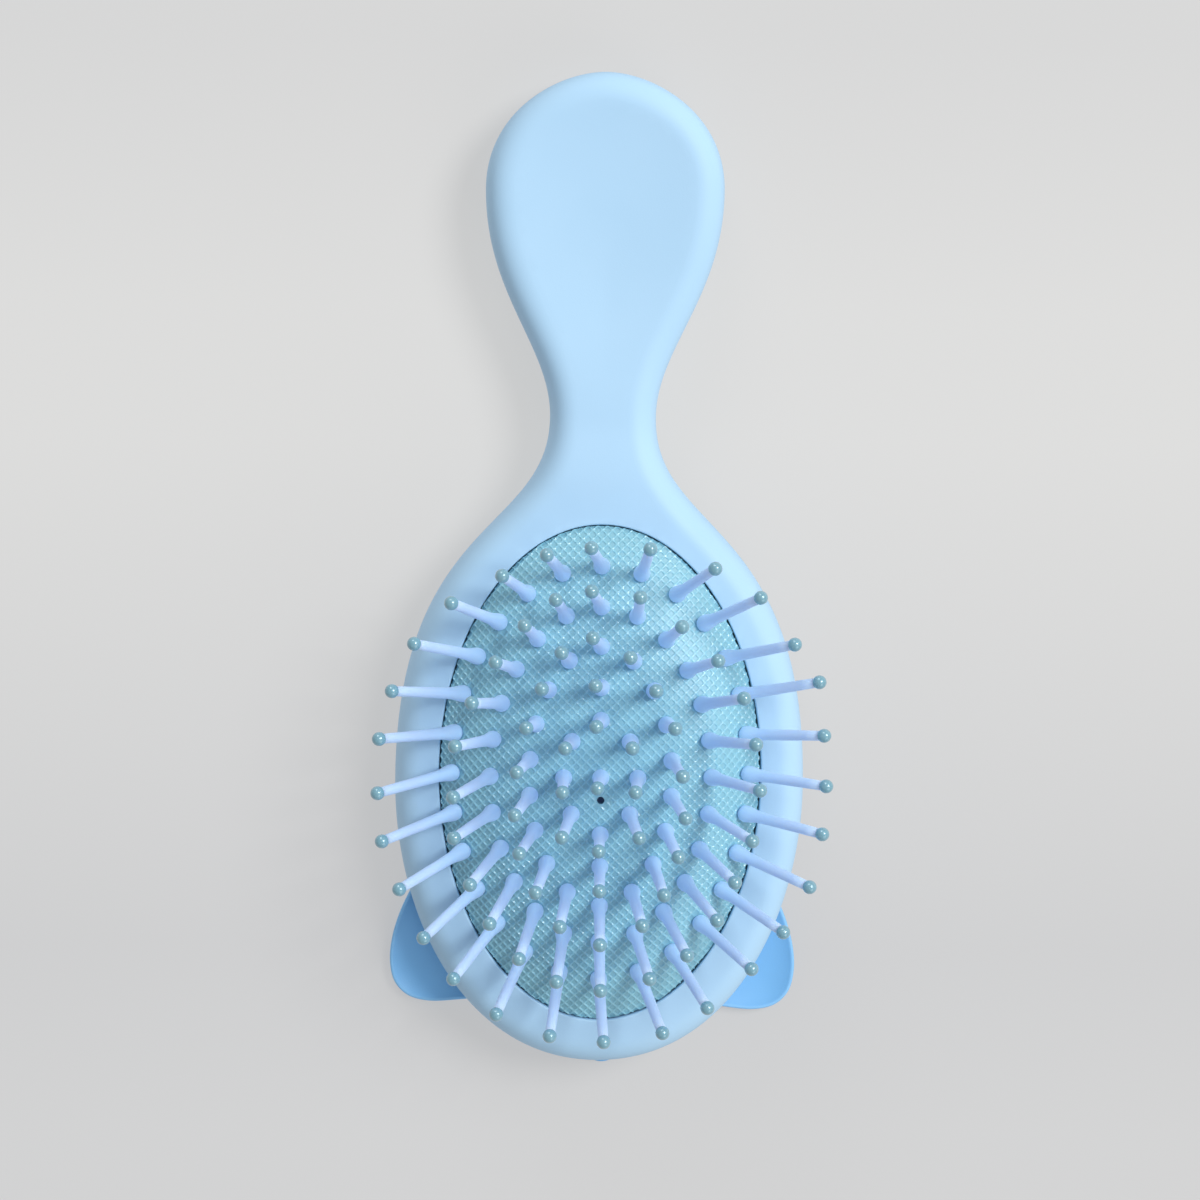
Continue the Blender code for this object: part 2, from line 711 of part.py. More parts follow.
def ear_plate(parent, material):
    """Plate behind the head: an oval with two dished ears and a small crest."""
    flat = oval(PLATE_HALF_WIDTH, PLATE_HALF_LENGTH)
    made = rounded_slab("ear_plate", flat, 0, PLATE_THICKNESS, PLATE_EDGE, parent, material)
    for name, corners in (
        ("right_ear", EAR_CORNERS),
        ("left_ear", mirrored(EAR_CORNERS)),
        ("crest", CREST_CORNERS),
    ):
        ring = hull_of_corners(corners, EAR_STEPS)
        edge = PLATE_EDGE - EAR_RISE
        form = rounded_slab(name, ring, EAR_RISE, PLATE_THICKNESS, edge, parent)
        combine(made, form, "UNION")
    for name, corners in (
        ("right_dish", EAR_CORNERS),
        ("left_dish", mirrored(EAR_CORNERS)),
    ):
        ring = inset(hull_of_corners(corners, EAR_STEPS), EAR_RIM)
        floor = PLATE_THICKNESS - EAR_DISH_DEPTH
        high = PLATE_THICKNESS + CUT_OVERRUN
        dish = rounded_slab(name, ring, floor, high, EAR_DISH_DEPTH, parent)
        combine(made, dish, "DIFFERENCE")
    recess = oval(PAD_HALF_WIDTH + FIT_GAP, PAD_HALF_LENGTH + FIT_GAP)
    floor = PLATE_THICKNESS - PAD_RECESS
    cutter = prism("pad_recess", recess, floor, PLATE_THICKNESS + CUT_OVERRUN, parent)
    combine(made, cutter, "DIFFERENCE")
    return made


def adhesive_pad(parent, material):
    low = PLATE_THICKNESS - PAD_RECESS + FIT_GAP
    high = HEAD_BACK_HEIGHT - FIT_GAP
    return prism("adhesive_pad", oval(PAD_HALF_WIDTH, PAD_HALF_LENGTH), low, high, parent, material)


def main():
    clear_scene()
    soft_blue = plastic("soft_touch_blue", (0.47, 0.71, 0.93), 0.5)
    teal_rubber = plastic("teal_rubber", (0.22, 0.52, 0.62), 0.4)
    pin_plastic = plastic("lavender_plastic", (0.42, 0.52, 0.92), 0.35)
    ear_blue = plastic("ear_blue", (0.12, 0.36, 0.66), 0.35)
    plate_plastic = plastic("hidden_plastic", (0.55, 0.62, 0.68), 0.5)
    foam = plastic("pad_foam", (0.8, 0.8, 0.78), 0.9)

    brush = empty("brush", location=(0, -CENTRE_SHIFT, 0))
    presses = empty("cushion_press_axis", brush)
    ears = empty("ear_plate_place", brush, (-PLATE_SHIFT, 0, 0))
    ears.rotation_euler.z = PLATE_TURN

    outline = body_outline()
    front_shell(outline, brush, soft_blue)
    back_shell(outline, brush, soft_blue)
    base_plate(brush, plate_plastic)
    groups = pin_groups()
    every_pin = [pin for pins in groups.values() for pin in pins]
    cushion(brush, teal_rubber, every_pin)
    for name, pins in groups.items():
        pin_group(name, pins, presses, pin_plastic)
    ear_plate(ears, ear_blue)
    adhesive_pad(ears, foam)


main()
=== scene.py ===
"""Looks of the small cushion brush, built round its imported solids.

Sizes are in metres. +Z is out of the brushing face, +Y runs towards the handle, and the forms are
drawn about the middle of the cushion before they are put where the solids are.
"""

import json
import math

import bmesh
import bpy
import numpy as np
from mathutils import Matrix, Vector
from mathutils.geometry import delaunay_2d_cdt


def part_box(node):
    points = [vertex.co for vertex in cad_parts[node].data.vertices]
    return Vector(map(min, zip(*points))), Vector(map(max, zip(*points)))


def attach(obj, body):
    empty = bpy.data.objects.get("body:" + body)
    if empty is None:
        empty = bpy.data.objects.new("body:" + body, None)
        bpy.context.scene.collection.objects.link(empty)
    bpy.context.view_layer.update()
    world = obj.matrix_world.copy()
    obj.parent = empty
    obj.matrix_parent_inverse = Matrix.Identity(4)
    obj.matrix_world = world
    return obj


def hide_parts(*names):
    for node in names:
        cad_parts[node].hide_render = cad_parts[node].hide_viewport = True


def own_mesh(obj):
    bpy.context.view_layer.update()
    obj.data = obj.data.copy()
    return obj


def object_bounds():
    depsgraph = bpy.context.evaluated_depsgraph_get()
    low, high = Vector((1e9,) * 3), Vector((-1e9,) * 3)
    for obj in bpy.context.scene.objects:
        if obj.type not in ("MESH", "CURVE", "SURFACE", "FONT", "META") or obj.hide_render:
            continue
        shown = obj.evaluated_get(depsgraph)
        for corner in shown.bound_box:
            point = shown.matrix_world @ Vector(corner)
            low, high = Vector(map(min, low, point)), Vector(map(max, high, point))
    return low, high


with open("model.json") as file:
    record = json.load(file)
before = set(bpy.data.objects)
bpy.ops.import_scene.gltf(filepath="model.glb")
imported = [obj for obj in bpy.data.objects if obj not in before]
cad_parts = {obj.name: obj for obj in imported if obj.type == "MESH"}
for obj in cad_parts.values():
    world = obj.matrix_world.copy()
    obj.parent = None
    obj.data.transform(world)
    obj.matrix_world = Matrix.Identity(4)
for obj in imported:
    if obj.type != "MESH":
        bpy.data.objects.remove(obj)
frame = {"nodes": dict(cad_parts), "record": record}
solid_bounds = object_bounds()

# Outline of the body, as in the solids
HANDLE_REACH = 0.1191
BULB_REACH = 0.0992
BULB_HALF_WIDTH = 0.0204
NECK_REACH = 0.0604
NECK_HALF_WIDTH = 0.0091
WIDEST_DROP = 0.0032
HEAD_HALF_WIDTH = 0.0355
HEAD_REACH = 0.0523
CURVE_SHARES = ((0.39, 0.67), (0.47, 0.31), (0.32, 0.73), (0.48, 0.66))
OUTLINE_STEPS = 44

# Heights and walls of the body
PARTING_HEIGHT = 0.008
HEAD_FACE = 0.016
NECK_FACE = 0.0152
BULB_FACE = 0.0144
HEAD_BACK = 0.0036
NECK_BACK = 0.0042
HEAD_FLAT_REACH = 0.049
BULB_FLAT_REACH = 0.086
BULB_DISH = 0.0007
SHELL_WALL = 0.0022
FACE_EDGE = 0.005
BACK_EDGE = 0.0065
EDGE_FULLNESS = 2.4
EDGE_STEPS = 16
SEAM_GAP = 0.0003
SEAM_ROUND = 0.00014
LIP_ROUND = 0.0004
# How strongly the painted highlight, the paler colour of rims, shows at each step over the lip of the
# opening
LIP_HIGHLIGHT_MARKS = (1.0, 2.2, 2.7, 2.2, 1.4, 0.6, 0.1)
FACE_NET = 0.0014
INNER_FACE_NET = 0.0028

# Opening and rubber cushion
OPENING_HALF_WIDTH = 0.0277
OPENING_HALF_LENGTH = 0.0431
OPENING_DROP = 0.0007
OVAL_STEPS = 160
FIT_GAP = 0.0003
EDGE_GAP = 0.0002
CUSHION_WALL = 0.0012
CUSHION_CROWN = 0.0086
CUSHION_EDGE_DEPTH = 0.0016
EDGE_RAISE = 0.0009
CUSHION_FLANGE = 0.0016
FLANGE_TOP = 0.013
FLANGE_BOTTOM = 0.0124
CROWN_POWER_ACROSS = 4.15
CROWN_POWER_ALONG = 2.35
CROWN_STEPS = 10
CROWN_ROUNDS = 6
SLOPE_STEP = 0.00001
FARTHEST_SHARE = 2
VENT_RADIUS = 0.00065
VENT_DROP = 0.004

# Diamond lattice of ridges on the cushion
LATTICE_PITCH = 0.0012
LATTICE_SPARE = 1.1
RIDGE_TOP = 0.00012
RIDGE_FOOT = 0.00048
RIDGE_HEIGHT = 0.00018
EDGE_SINK = 0.00005
# Least distance between two points of the cushion's rim
RIM_STEP = 0.00004
PLAIN_RING = 0.0013
PLAIN_VENT_RING = 0.001105
PLAIN_EDGE = 0.0004
HOLE_RADIUS = 0.00095
INNER_NET = 0.002

# Pins: body, share of the opening's half width and half length, and number of pins of each oval
OVALS = (
    ("outer_oval", 0.895, 0.821, 28),
    ("second_oval", 0.668, 0.664, 24),
    ("third_oval", 0.435, 0.513, 18),
    ("centre_pins", 0.228, 0.227, 8),
)
ROW_END_SHARE = 0.354
TRACE_STEPS = 720
PIN_LEAN_SHARE = 1.1
PIN_LENGTH = 0.0175
PIN_SIDES = 16
BALL_RADIUS = 0.0012
BALL_RINGS = 10
# Radius of a pin at each height above the cushion's skin, from its foot to its neck
PIN_PROFILE = (
    (-0.00250, 0.00135), (-0.00236, 0.00150), (-0.00184, 0.00150), (-0.00170, 0.00136),
    (-0.00168, 0.00080), (0.00004, 0.00080), (0.00004, 0.00102), (0.00012, 0.00120),
    (0.00030, 0.00134), (0.00065, 0.00144), (0.00110, 0.00146), (0.00170, 0.00140),
    (0.00240, 0.00126), (0.00310, 0.00112), (0.00400, 0.00102), (0.00600, 0.00096),
    (0.01000, 0.00091), (0.01400, 0.00087), (0.01700, 0.00083),
)
# Inputs of the tree that stands the pins
PIN_SIZES = (
    ("Pin Length", "NodeSocketFloat", PIN_LENGTH),
    ("Ball Radius", "NodeSocketFloat", BALL_RADIUS),
    ("Sides", "NodeSocketInt", PIN_SIDES),
)
# How far the tip of each pin strays to the right and up from its regular lean, in tenths of a millimetre,
# round each oval from the handle end to the left, and last down the middle row
TIP_STRAYS = {
    "outer_oval": (
        (-22, -19), (-5, -19), (8, -18), (-2, -9), (-7, -9), (-5, -12), (-4, -12),
        (1, -20), (1, -18), (8, -15), (10, -18), (3, -16), (1, -18), (5, -17),
        (7, -14), (17, -11), (6, -4), (5, 5), (1, -5), (6, -9), (3, -1),
        (2, -3), (3, -1), (17, 6), (12, -6), (10, 3), (7, -4), (-15, -8),
    ),
    "second_oval": (
        (-21, -6), (-7, -5), (9, -5), (14, -5), (10, -3), (2, -2),
        (5, -12), (0, -6), (7, -11), (5, -7), (2, -6), (-2, -2),
        (0, -2), (10, 4), (5, 2), (2, 1), (-4, -4), (4, -8),
        (9, 2), (7, 4), (5, 7), (-4, 0), (-12, -5), (-14, 0),
    ),
    "third_oval": (
        (-19, -2), (-11, 0), (2, 0), (2, 5), (-4, 1), (-7, -3),
        (-9, 1), (-6, 4), (-11, 5), (-2, 0), (10, 8), (0, 1),
        (-2, -3), (-1, -6), (-7, -4), (-11, 6), (-18, -2), (-16, -7),
    ),
    "centre_pins": (
        (-12, 1), (-12, 9), (-1, 3), (-16, -7), (-6, 14), (10, -7), (-12, 4), (-3, 10),
        (-14, 3), (-9, 10), (-4, 11),
    ),
}
TENTH = 0.0001

# Ear plate and foam pad
PLATE_HALF_WIDTH = 0.029
PLATE_HALF_LENGTH = 0.0405
PLATE_THICKNESS = 0.0026
PLATE_EDGE = 0.0018
PLATE_TURN = math.radians(-1.2)
# Spots on the outline of the right ear, from its root on the plate's side round to its root at the tip
EAR_SPOTS = (
    (0.0250, -0.0145), (0.0295, -0.0190), (0.0323, -0.0240), (0.0344, -0.0289), (0.0356, -0.0335),
    (0.0358, -0.0376), (0.0349, -0.0411), (0.0325, -0.0435), (0.0288, -0.0444), (0.0240, -0.0441),
    (0.0170, -0.0431), (0.0110, -0.0415), (0.0090, -0.0370), (0.0150, -0.0280), (0.0205, -0.0190),
)
EAR_STEPS = 8
# Place and radius of the two circles that the crest is stretched round
CREST_CORNERS = ((0.0021, -0.0511, 0.0035), (0.0010, -0.0400, 0.0080))
EAR_RISE = 0.0005
EAR_RIM = 0.00045
EAR_RIM_END = 0.00072
EAR_DISH_DEPTH = 0.0014
EAR_DISH_RUN = 0.0028
RIM_ROUND = 0.0003
# Depths inside the plate's edge of the rows of points in its net, and of the even grid's start
ROW_DEPTHS = (0.00008, 0.00018, 0.0003, 0.00045, 0.0007, 0.001, 0.0014, 0.0018)
GRID_DEPTH = 0.002
PLATE_NET = 0.0007
PLATE_GRID_LOW = (-0.037, -0.056)
PLATE_GRID_HIGH = (0.037, 0.042)
PAD_HALF_WIDTH = 0.0155
PAD_HALF_LENGTH = 0.0215
PAD_RECESS = 0.001
RECESS_TOP_GAP = 0.00048
PAD_EDGE_STEPS = 8
PAD_EDGE_SHARE = 0.5
PAD_NET = 0.002

# Meshes: the least distance between two points, and other limits
WELD = 0.000001
SHARP_ANGLE = math.radians(40)
ARC_STEPS = 28
PLACES_AT_ONCE = 2000

# Camera, fitted to the picture
CAMERA_DISTANCE = 0.56
CAMERA_TARGET = Vector((-0.00033, -0.0028, 0.016))
CAMERA_TILT = 0.112
CAMERA_SIDE = -0.02
CAMERA_ROLL = -0.0105
FOCAL_PIXELS = 3276
FRAME_PIXELS = 1200
SENSOR_WIDTH = 36
CLIP_START = 0.01

# Studio
FLOOR_HALF_WIDTH = 3.0
FLOOR_SINK = 0.00002
FLOOR_TONES_PER_METRE = 3.0
WORLD_COLOUR = (0.96, 0.98, 1.0)
WORLD_STRENGTH = 0.365
LAMP_TARGET = (0, -0.02, 0.01)
# Name, place, size, power and colour of each lamp
LAMPS = (
    ("key", (1.46, 0.88, 2.20), 1.15, 56.0, (1.0, 0.985, 0.965)),
    ("top", (-0.60, 2.50, 1.15), 1.30, 20.0, (0.97, 0.98, 1.0)),
    ("low", (1.40, -1.60, 1.60), 1.80, 13.0, (0.98, 0.99, 1.0)),
)

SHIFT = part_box("front_shell")[1].y - HANDLE_REACH
HEAD_EDGE_HEIGHT = HEAD_FACE - CUSHION_EDGE_DEPTH
CUSHION_HALF_WIDTH = OPENING_HALF_WIDTH - EDGE_GAP
CUSHION_HALF_LENGTH = OPENING_HALF_LENGTH - EDGE_GAP


def new_object(name, data):
    """An object in the scene."""
    made = bpy.data.objects.new(name, data)
    bpy.context.scene.collection.objects.link(made)
    return made


def camera():
    """Camera at the picture's viewing angle, nearly square to the brushing face."""
    level = math.cos(CAMERA_TILT)
    toward = Vector((math.sin(CAMERA_SIDE) * level, math.sin(CAMERA_TILT), level * math.cos(CAMERA_SIDE)))
    toward.normalize()
    up = (Vector((0, 1, 0)) - toward * toward.y).normalized()
    right = up.cross(toward)
    rolled_up = up * math.cos(CAMERA_ROLL) + right * math.sin(CAMERA_ROLL)
    rolled_right = right * math.cos(CAMERA_ROLL) - up * math.sin(CAMERA_ROLL)
    lens = bpy.data.cameras.new("picture_camera")
    lens.sensor_width = SENSOR_WIDTH
    lens.lens = SENSOR_WIDTH * FOCAL_PIXELS / FRAME_PIXELS
    lens.clip_start = CLIP_START
    made = new_object("picture_camera", lens)
    turn = Matrix((rolled_right, rolled_up, toward)).transposed().to_4x4()
    made.matrix_world = Matrix.Translation(CAMERA_TARGET + toward * CAMERA_DISTANCE) @ turn
    bpy.context.scene.camera = made


# Nodes


def feed(tree, socket, value):
    """A socket takes a link from another one, or a value of its own."""
    if isinstance(value, Reading):
        value = value.socket
    if isinstance(value, bpy.types.NodeSocket):
        tree.links.new(value, socket)
    elif socket.type == "RGBA":
        socket.default_value = (*value, 1)
    else:
        socket.default_value = value


def new_node(tree, kind, settings=(), *first, **named):
    """A node with its settings made, then its first sockets fed in order and the others by name."""
    made = tree.nodes.new(kind)
    for name, value in dict(settings).items():
        if name == "stops":
            elements = made.color_ramp.elements
            for number, (position, level) in enumerate(value):
                element = elements[number] if number < 2 else elements.new(position)
                element.position = position
                element.color = (level, level, level, 1)
        else:
            setattr(made, name, value)
    for socket, value in zip(made.inputs, first):
        feed(tree, socket, value)
    for name, value in named.items():
        title = name.replace("_", " ")
        feed(tree, next(s for s in made.inputs if s.name == title and s.enabled), value)
    return made


class Reading:
    """A number that a finish works out at each point, so that sums of them are written as Python."""

    def __init__(self, finish, socket):
        self.finish = finish
        self.socket = socket

    def __add__(self, other):
        return self.finish.sum("ADD", self, other)

    def __sub__(self, other):
        return self.finish.sum("SUBTRACT", self, other)

    def __rsub__(self, other):
        return self.finish.sum("SUBTRACT", other, self)

    def __mul__(self, other):
        return self.finish.sum("MULTIPLY", self, other)

    __radd__ = __add__


class Finish:
    """One material, put together node by node."""

    def __init__(self, name, **constants):
        self.material = bpy.data.materials.new(name)
        self.material.use_nodes = True
        self.tree = self.material.node_tree
        self.shader = self.tree.nodes["Principled BSDF"]
        self.set(**constants)
        self.place = self.node("ShaderNodeTexCoord").outputs["Object"]

    def set(self, **values):
        """Sockets of the shader are fed, and the material is given."""
        for name, value in values.items():
            feed(self.tree, self.shader.inputs[name.replace("_", " ")], value)
        return self.material

    def node(self, kind, settings=(), *first, **named):
        return new_node(self.tree, kind, settings, *first, **named)

    def sum(self, operation, first, second):
        made = self.node("ShaderNodeMath", {"operation": operation}, first, second)
        return Reading(self, made.outputs[0])

    def noise(self, size, detail=2.0, roughness=0.5):
        """Soft noise from 0 to 1 whose spots are about this wide."""
        made = self.node(
            "ShaderNodeTexNoise", Vector=self.place, Scale=1 / size, Detail=detail, Roughness=roughness
        )
        return Reading(self, made.outputs["Fac"])

    def ramp(self, value, *stops):
        made = self.node("ShaderNodeValToRGB", {"stops": stops}, Fac=value)
        return Reading(self, made.outputs["Color"])

    def attribute(self, name):
        made = self.node("ShaderNodeAttribute", {"attribute_name": name})
        return Reading(self, made.outputs["Fac"])

    def mix(self, factor, first, second):
        made = self.node("ShaderNodeMix", {"data_type": "RGBA"}, Factor=factor, A=first, B=second)
        return next(s for s in made.outputs if s.enabled)

    def bump(self, height, distance):
        return self.node("ShaderNodeBump", Height=height, Distance=distance).outputs["Normal"]


# Materials


def soft_blue_plastic():
    """Pale blue moulded plastic with a fine satin skin, painted paler over its rounded edges and the lip of
    the opening as a highlight.
    """
    finish = Finish("soft_blue_plastic", Specular_IOR_Level=0.3, Coat_Weight=0.03, Coat_Roughness=0.4)
    cloud = finish.noise(0.03, 3.0)
    grain = finish.noise(0.00022)
    speck = finish.ramp(finish.noise(0.0009, 1.0), (0.73, 0.0), (0.8, 1.0))
    rim = finish.attribute("rim")
    drift = finish.ramp(cloud, (0.3, 0.0), (0.7, 1.0))
    base = finish.mix(drift, (0.407, 0.633, 0.845), (0.432, 0.658, 0.87))
    # Painted highlight: the rim mark lightens the colour over the rounded edges and the lip of the opening.
    base = finish.mix(rim * 0.35, base, (0.49, 0.73, 0.93))
    base = finish.mix(speck * 0.10, base, (0.34, 0.56, 0.78))
    return finish.set(
        Base_Color=base,
        Roughness=0.52 + cloud * 0.08 + grain * 0.06 - rim * 0.03,
        Normal=finish.bump(grain + cloud * 4, 0.000012),
    )


def teal_rubber():
    """Rubber skin whose ridges are glossier than the squares between them, and paler: the squares are
    painted darker as shade in the hollows between the ridges.
    """
    finish = Finish("teal_rubber", Specular_IOR_Level=0.9)
    ridge = finish.attribute("ridge")
    cloud = finish.noise(0.012, 3.0)
    grain = finish.noise(0.0003)
    # Painted shade: the squares between the ridges take the darker colour, for shade in the hollows.
    low = finish.mix(cloud, (0.207, 0.473, 0.583), (0.232, 0.505, 0.618))
    high = finish.mix(grain, (0.28, 0.595, 0.71), (0.315, 0.635, 0.755))
    gloss = finish.ramp(ridge, (0.0, 0.0), (0.5, 1.0))
    return finish.set(
        Base_Color=finish.mix(ridge, low, high),
        Roughness=0.45 - gloss * 0.24 + grain * 0.06,
        Normal=finish.bump(grain, 0.00001),
    )


def lavender_plastic():
    """Slightly milky pin plastic, bluer at the root and paler towards the ball, with a faint blue glow that
    is painted light for light passing through the plastic.
    """
    # The emission is painted light: a faint glow that lifts the pins' shaded sides.
    finish = Finish(
        "lavender_plastic", Specular_IOR_Level=0.25, Subsurface_Weight=0.6, Subsurface_Scale=0.0016,
        Subsurface_Radius=(0.8, 0.9, 1.0), Emission_Color=(0.44, 0.52, 1.0), Emission_Strength=0.16,
    )
    rise = finish.attribute("rise")
    grain = finish.noise(0.0004)
    drift = finish.noise(0.006)
    upward = finish.ramp(rise + drift * 0.2, (0.05, 0.0), (0.7, 1.0))
    return finish.set(
        Base_Color=finish.mix(upward, (0.365, 0.61, 0.81), (0.415, 0.57, 0.755)),
        Roughness=0.45 + grain * 0.1,
        Normal=finish.bump(drift + grain * 0.1, 0.00002),
    )


def pearl_lacquer():
    """Grey-green pearl finish of the balls on the pins."""
    finish = Finish("pearl_lacquer", Coat_Weight=0.9, Coat_Roughness=0.04, Metallic=0.1)
    flake = finish.noise(0.00012)
    drift = finish.noise(0.002)
    base = finish.mix(drift, (0.155, 0.345, 0.435), (0.20, 0.405, 0.50))
    return finish.set(
        Base_Color=finish.mix(finish.ramp(flake, (0.5, 0.0), (0.8, 1.0)), base, (0.33, 0.54, 0.64)),
        Roughness=0.26 + flake * 0.12,
        Normal=finish.bump(drift, 0.00002),
    )


def ear_blue_plastic():
    """Deeper blue moulded plastic of the ears, a little glossier than the body, painted paler along the top
    of each ear's rim as a highlight.
    """
    finish = Finish("ear_blue_plastic", Specular_IOR_Level=0.4, Coat_Weight=0.06, Coat_Roughness=0.3)
    cloud = finish.noise(0.02, 3.0)
    grain = finish.noise(0.00025)
    rim = finish.attribute("rim")
    base = finish.mix(cloud, (0.20, 0.50, 0.86), (0.235, 0.55, 0.91))
    # Painted highlight: the rim mark lightens the colour along the top of each ear's rim.
    return finish.set(
        Base_Color=finish.mix(rim * 0.5, base, (0.30, 0.62, 0.97)),
        Roughness=0.42 + cloud * 0.08 + grain * 0.05,
        Normal=finish.bump(grain + cloud * 4, 0.00001),
    )


def plain_moulding():
    """Uncoloured moulding that the body hides, with flow marks from the mould."""
    finish = Finish("plain_moulding", Specular_IOR_Level=0.4)
    flow = finish.noise(0.008, 4.0, 0.6)
    grain = finish.noise(0.0003)
    return finish.set(
        Base_Color=finish.mix(flow, (0.50, 0.57, 0.63), (0.60, 0.66, 0.71)),
        Roughness=0.45 + grain * 0.15,
        Normal=finish.bump(grain + flow * 3, 0.00002),
    )


def foam():
    """Closed-cell foam of the pad behind the head."""
    finish = Finish("pad_foam", Specular_IOR_Level=0.25, Sheen_Weight=0.1)
    cells = finish.node("ShaderNodeTexVoronoi", Vector=finish.place, Scale=2500.0)
    cells = Reading(finish, cells.outputs["Distance"])
    return finish.set(
        Base_Color=finish.mix(cells, (0.68, 0.68, 0.66), (0.84, 0.84, 0.81)),
        Roughness=0.85 + cells * 0.1,
        Normal=finish.bump(cells, 0.00008),
    )


# Flat outlines


def curve(start, leave, arrive, end, steps):
    """Points of a cubic curve, without its last one."""
    points = []
    for i in range(steps):
        t = i / steps
        s = 1 - t
        points.append(start * s**3 + leave * 3 * s * s * t + arrive * 3 * s * t * t + end * t**3)
    return points


def body_outline():
    """Closed outline of the body: down its right side from the handle end, then up its left."""
    handle_end = Vector((0, HANDLE_REACH))
    bulb = Vector((BULB_HALF_WIDTH, BULB_REACH))
    neck = Vector((NECK_HALF_WIDTH, NECK_REACH))
    widest = Vector((HEAD_HALF_WIDTH, -WIDEST_DROP))
    tip = Vector((0, -HEAD_REACH))
    spots = (handle_end, bulb, neck, widest, tip)
    side = []
    for start, end, shares in zip(spots, spots[1:], CURVE_SHARES):
        width = Vector((max(start.x, end.x), 0))
        length = Vector((0, start.y - end.y))
        leave = start + width * shares[0] if start is handle_end else start - length * shares[0]
        arrive = end + width * shares[1] if end is tip else end + length * shares[1]
        side += curve(start, leave, arrive, end, OUTLINE_STEPS)
    return side + [tip] + [Vector((-point.x, point.y)) for point in reversed(side[1:])]


def oval(half_width, half_length, drop=0.0, steps=OVAL_STEPS):
    """Oval about the middle of the cushion, from its handle end to the left."""
    turns = [2 * math.pi * i / steps for i in range(steps)]
    return [Vector((-half_width * math.sin(t), half_length * math.cos(t) - drop)) for t in turns]


def moved_in(flat, distance):
    """The closed outline, moved inwards square to itself."""
    count = len(flat)
    area = sum(flat[i].cross(flat[(i + 1) % count]) for i in range(count))
    inward = math.copysign(distance, area)
    moved = []
    for i in range(count):
        along = (flat[(i + 1) % count] - flat[i - 1]).normalized()
        moved.append(flat[i] + Vector((-along.y, along.x)) * inward)
    return moved


def depth_inside(places, flat):
    """Distance of each place from the outline, below zero outside it."""
    ring = np.array([point[:2] for point in flat])
    places = np.asarray(places, float)[:, :2]
    ends = np.roll(ring, -1, axis=0)
    run = ends - ring
    best = np.empty(len(places))
    crossings = np.zeros(len(places), int)
    for first in range(0, len(places), PLACES_AT_ONCE):
        now = slice(first, first + PLACES_AT_ONCE)
        spots = places[now]
        away = spots[:, None] - ring[None]
        share = np.clip((away * run).sum(2) / (run * run).sum(1), 0, 1)
        gap = away - run * share[..., None]
        best[now] = np.sqrt((gap * gap).sum(2).min(1))
        over = (ring[:, 1] > spots[:, 1:]) != (ends[:, 1] > spots[:, 1:])
        with np.errstate(divide="ignore", invalid="ignore"):
            cross_x = ring[:, 0] + run[:, 0] * (spots[:, 1:] - ring[:, 1]) / run[:, 1]
        crossings[now] = (over & (spots[:, :1] < cross_x)).sum(1)
    return np.where(crossings % 2 == 1, best, -best)


def plan_of(loops):
    """Points of closed outlines and the edges along them."""
    plan = []
    edges = []
    for loop in loops:
        first = len(plan)
        plan += loop
        edges += [(first + i, first + (i + 1) % len(loop)) for i in range(len(loop))]
    return plan, edges


def staggered(columns, rows, step):
    """Places of a grid whose every second row is half a step to the right."""
    return np.array([(x + step / 2 * (row % 2), y) for row, y in enumerate(rows) for x in columns])


def net_over(plan, edges, closest, fits):
    """Places of these points and the triangles between them whose middles fit."""
    points, _, faces = delaunay_2d_cdt(plan, edges, [], 0, closest)[:3]
    places = np.array([point[:] for point in points])
    middles = np.array([places[list(face)].mean(0) for face in faces])
    return places, [face for face, kept in zip(faces, fits(middles)) if kept]


def between(places, ring, holes, margin=0):
    """Whether each place is inside the ring and outside its holes, by more than a margin."""
    fits = depth_inside(places, ring) > margin
    for hole in holes:
        fits &= depth_inside(places, hole) < -margin
    return fits


def net_within(ring, holes, step):
    """Flat points and triangles between a ring and the holes in it, on a staggered grid."""
    corners = np.array([point[:] for point in ring])
    low = corners.min(0)
    high = corners.max(0)
    rows = np.arange(low[1], high[1], step * math.sqrt(3) / 2)
    grid = staggered(np.arange(low[0], high[0], step), rows, step)
    plan, edges = plan_of([ring, *holes])
    plan += [Vector(spot) for spot in grid[between(grid, ring, holes, step / 2)]]
    return net_over(plan, edges, WELD / 10, lambda middles: between(middles, ring, holes))


def through(spots, steps):
    """Smooth closed outline through these spots, with handles a sixth of the way between neighbours."""
    spots = [Vector(spot) for spot in spots]
    count = len(spots)
    outline = []
    for i, start in enumerate(spots):
        end = spots[(i + 1) % count]
        leave = start + (end - spots[i - 1]) / 6
        arrive = end - (spots[(i + 2) % count] - start) / 6
        outline += curve(start, leave, arrive, end, steps)
    return outline


def evenly(flat, step):
    """The closed outline with no stretch longer than a step."""
    points = []
    for start, end in zip(flat, flat[1:] + flat[:1]):
        count = max(1, math.ceil((end - start).length / step))
        points += [start.lerp(end, i / count) for i in range(count)]
    return points


def hull_of_corners(corners):
    """Outline of the band stretched round circles that are listed clockwise."""
    outline = []
    count = len(corners)
    for number, (x, y, radius) in enumerate(corners):
        start = outward_turn(corners[number - 1], corners[number])
        end = outward_turn(corners[number], corners[(number + 1) % count])
        while end > start:
            end -= 2 * math.pi
        for step in range(ARC_STEPS + 1):
            turn = start + (end - start) * step / ARC_STEPS
            outline.append(Vector((x + radius * math.cos(turn), y + radius * math.sin(turn))))
    return outline


def outward_turn(first, second):
    """Direction square to the tangent line that runs from one circle to the next."""
    run = Vector((second[0] - first[0], second[1] - first[1]))
    return math.atan2(run.y, run.x) + math.acos((first[2] - second[2]) / run.length)


def ease(value, start, end):
    """Smooth rise from 0 at start to 1 at end."""
    share = np.clip((value - start) / (end - start), 0, 1)
    return share * share * (3 - 2 * share)


# Meshes


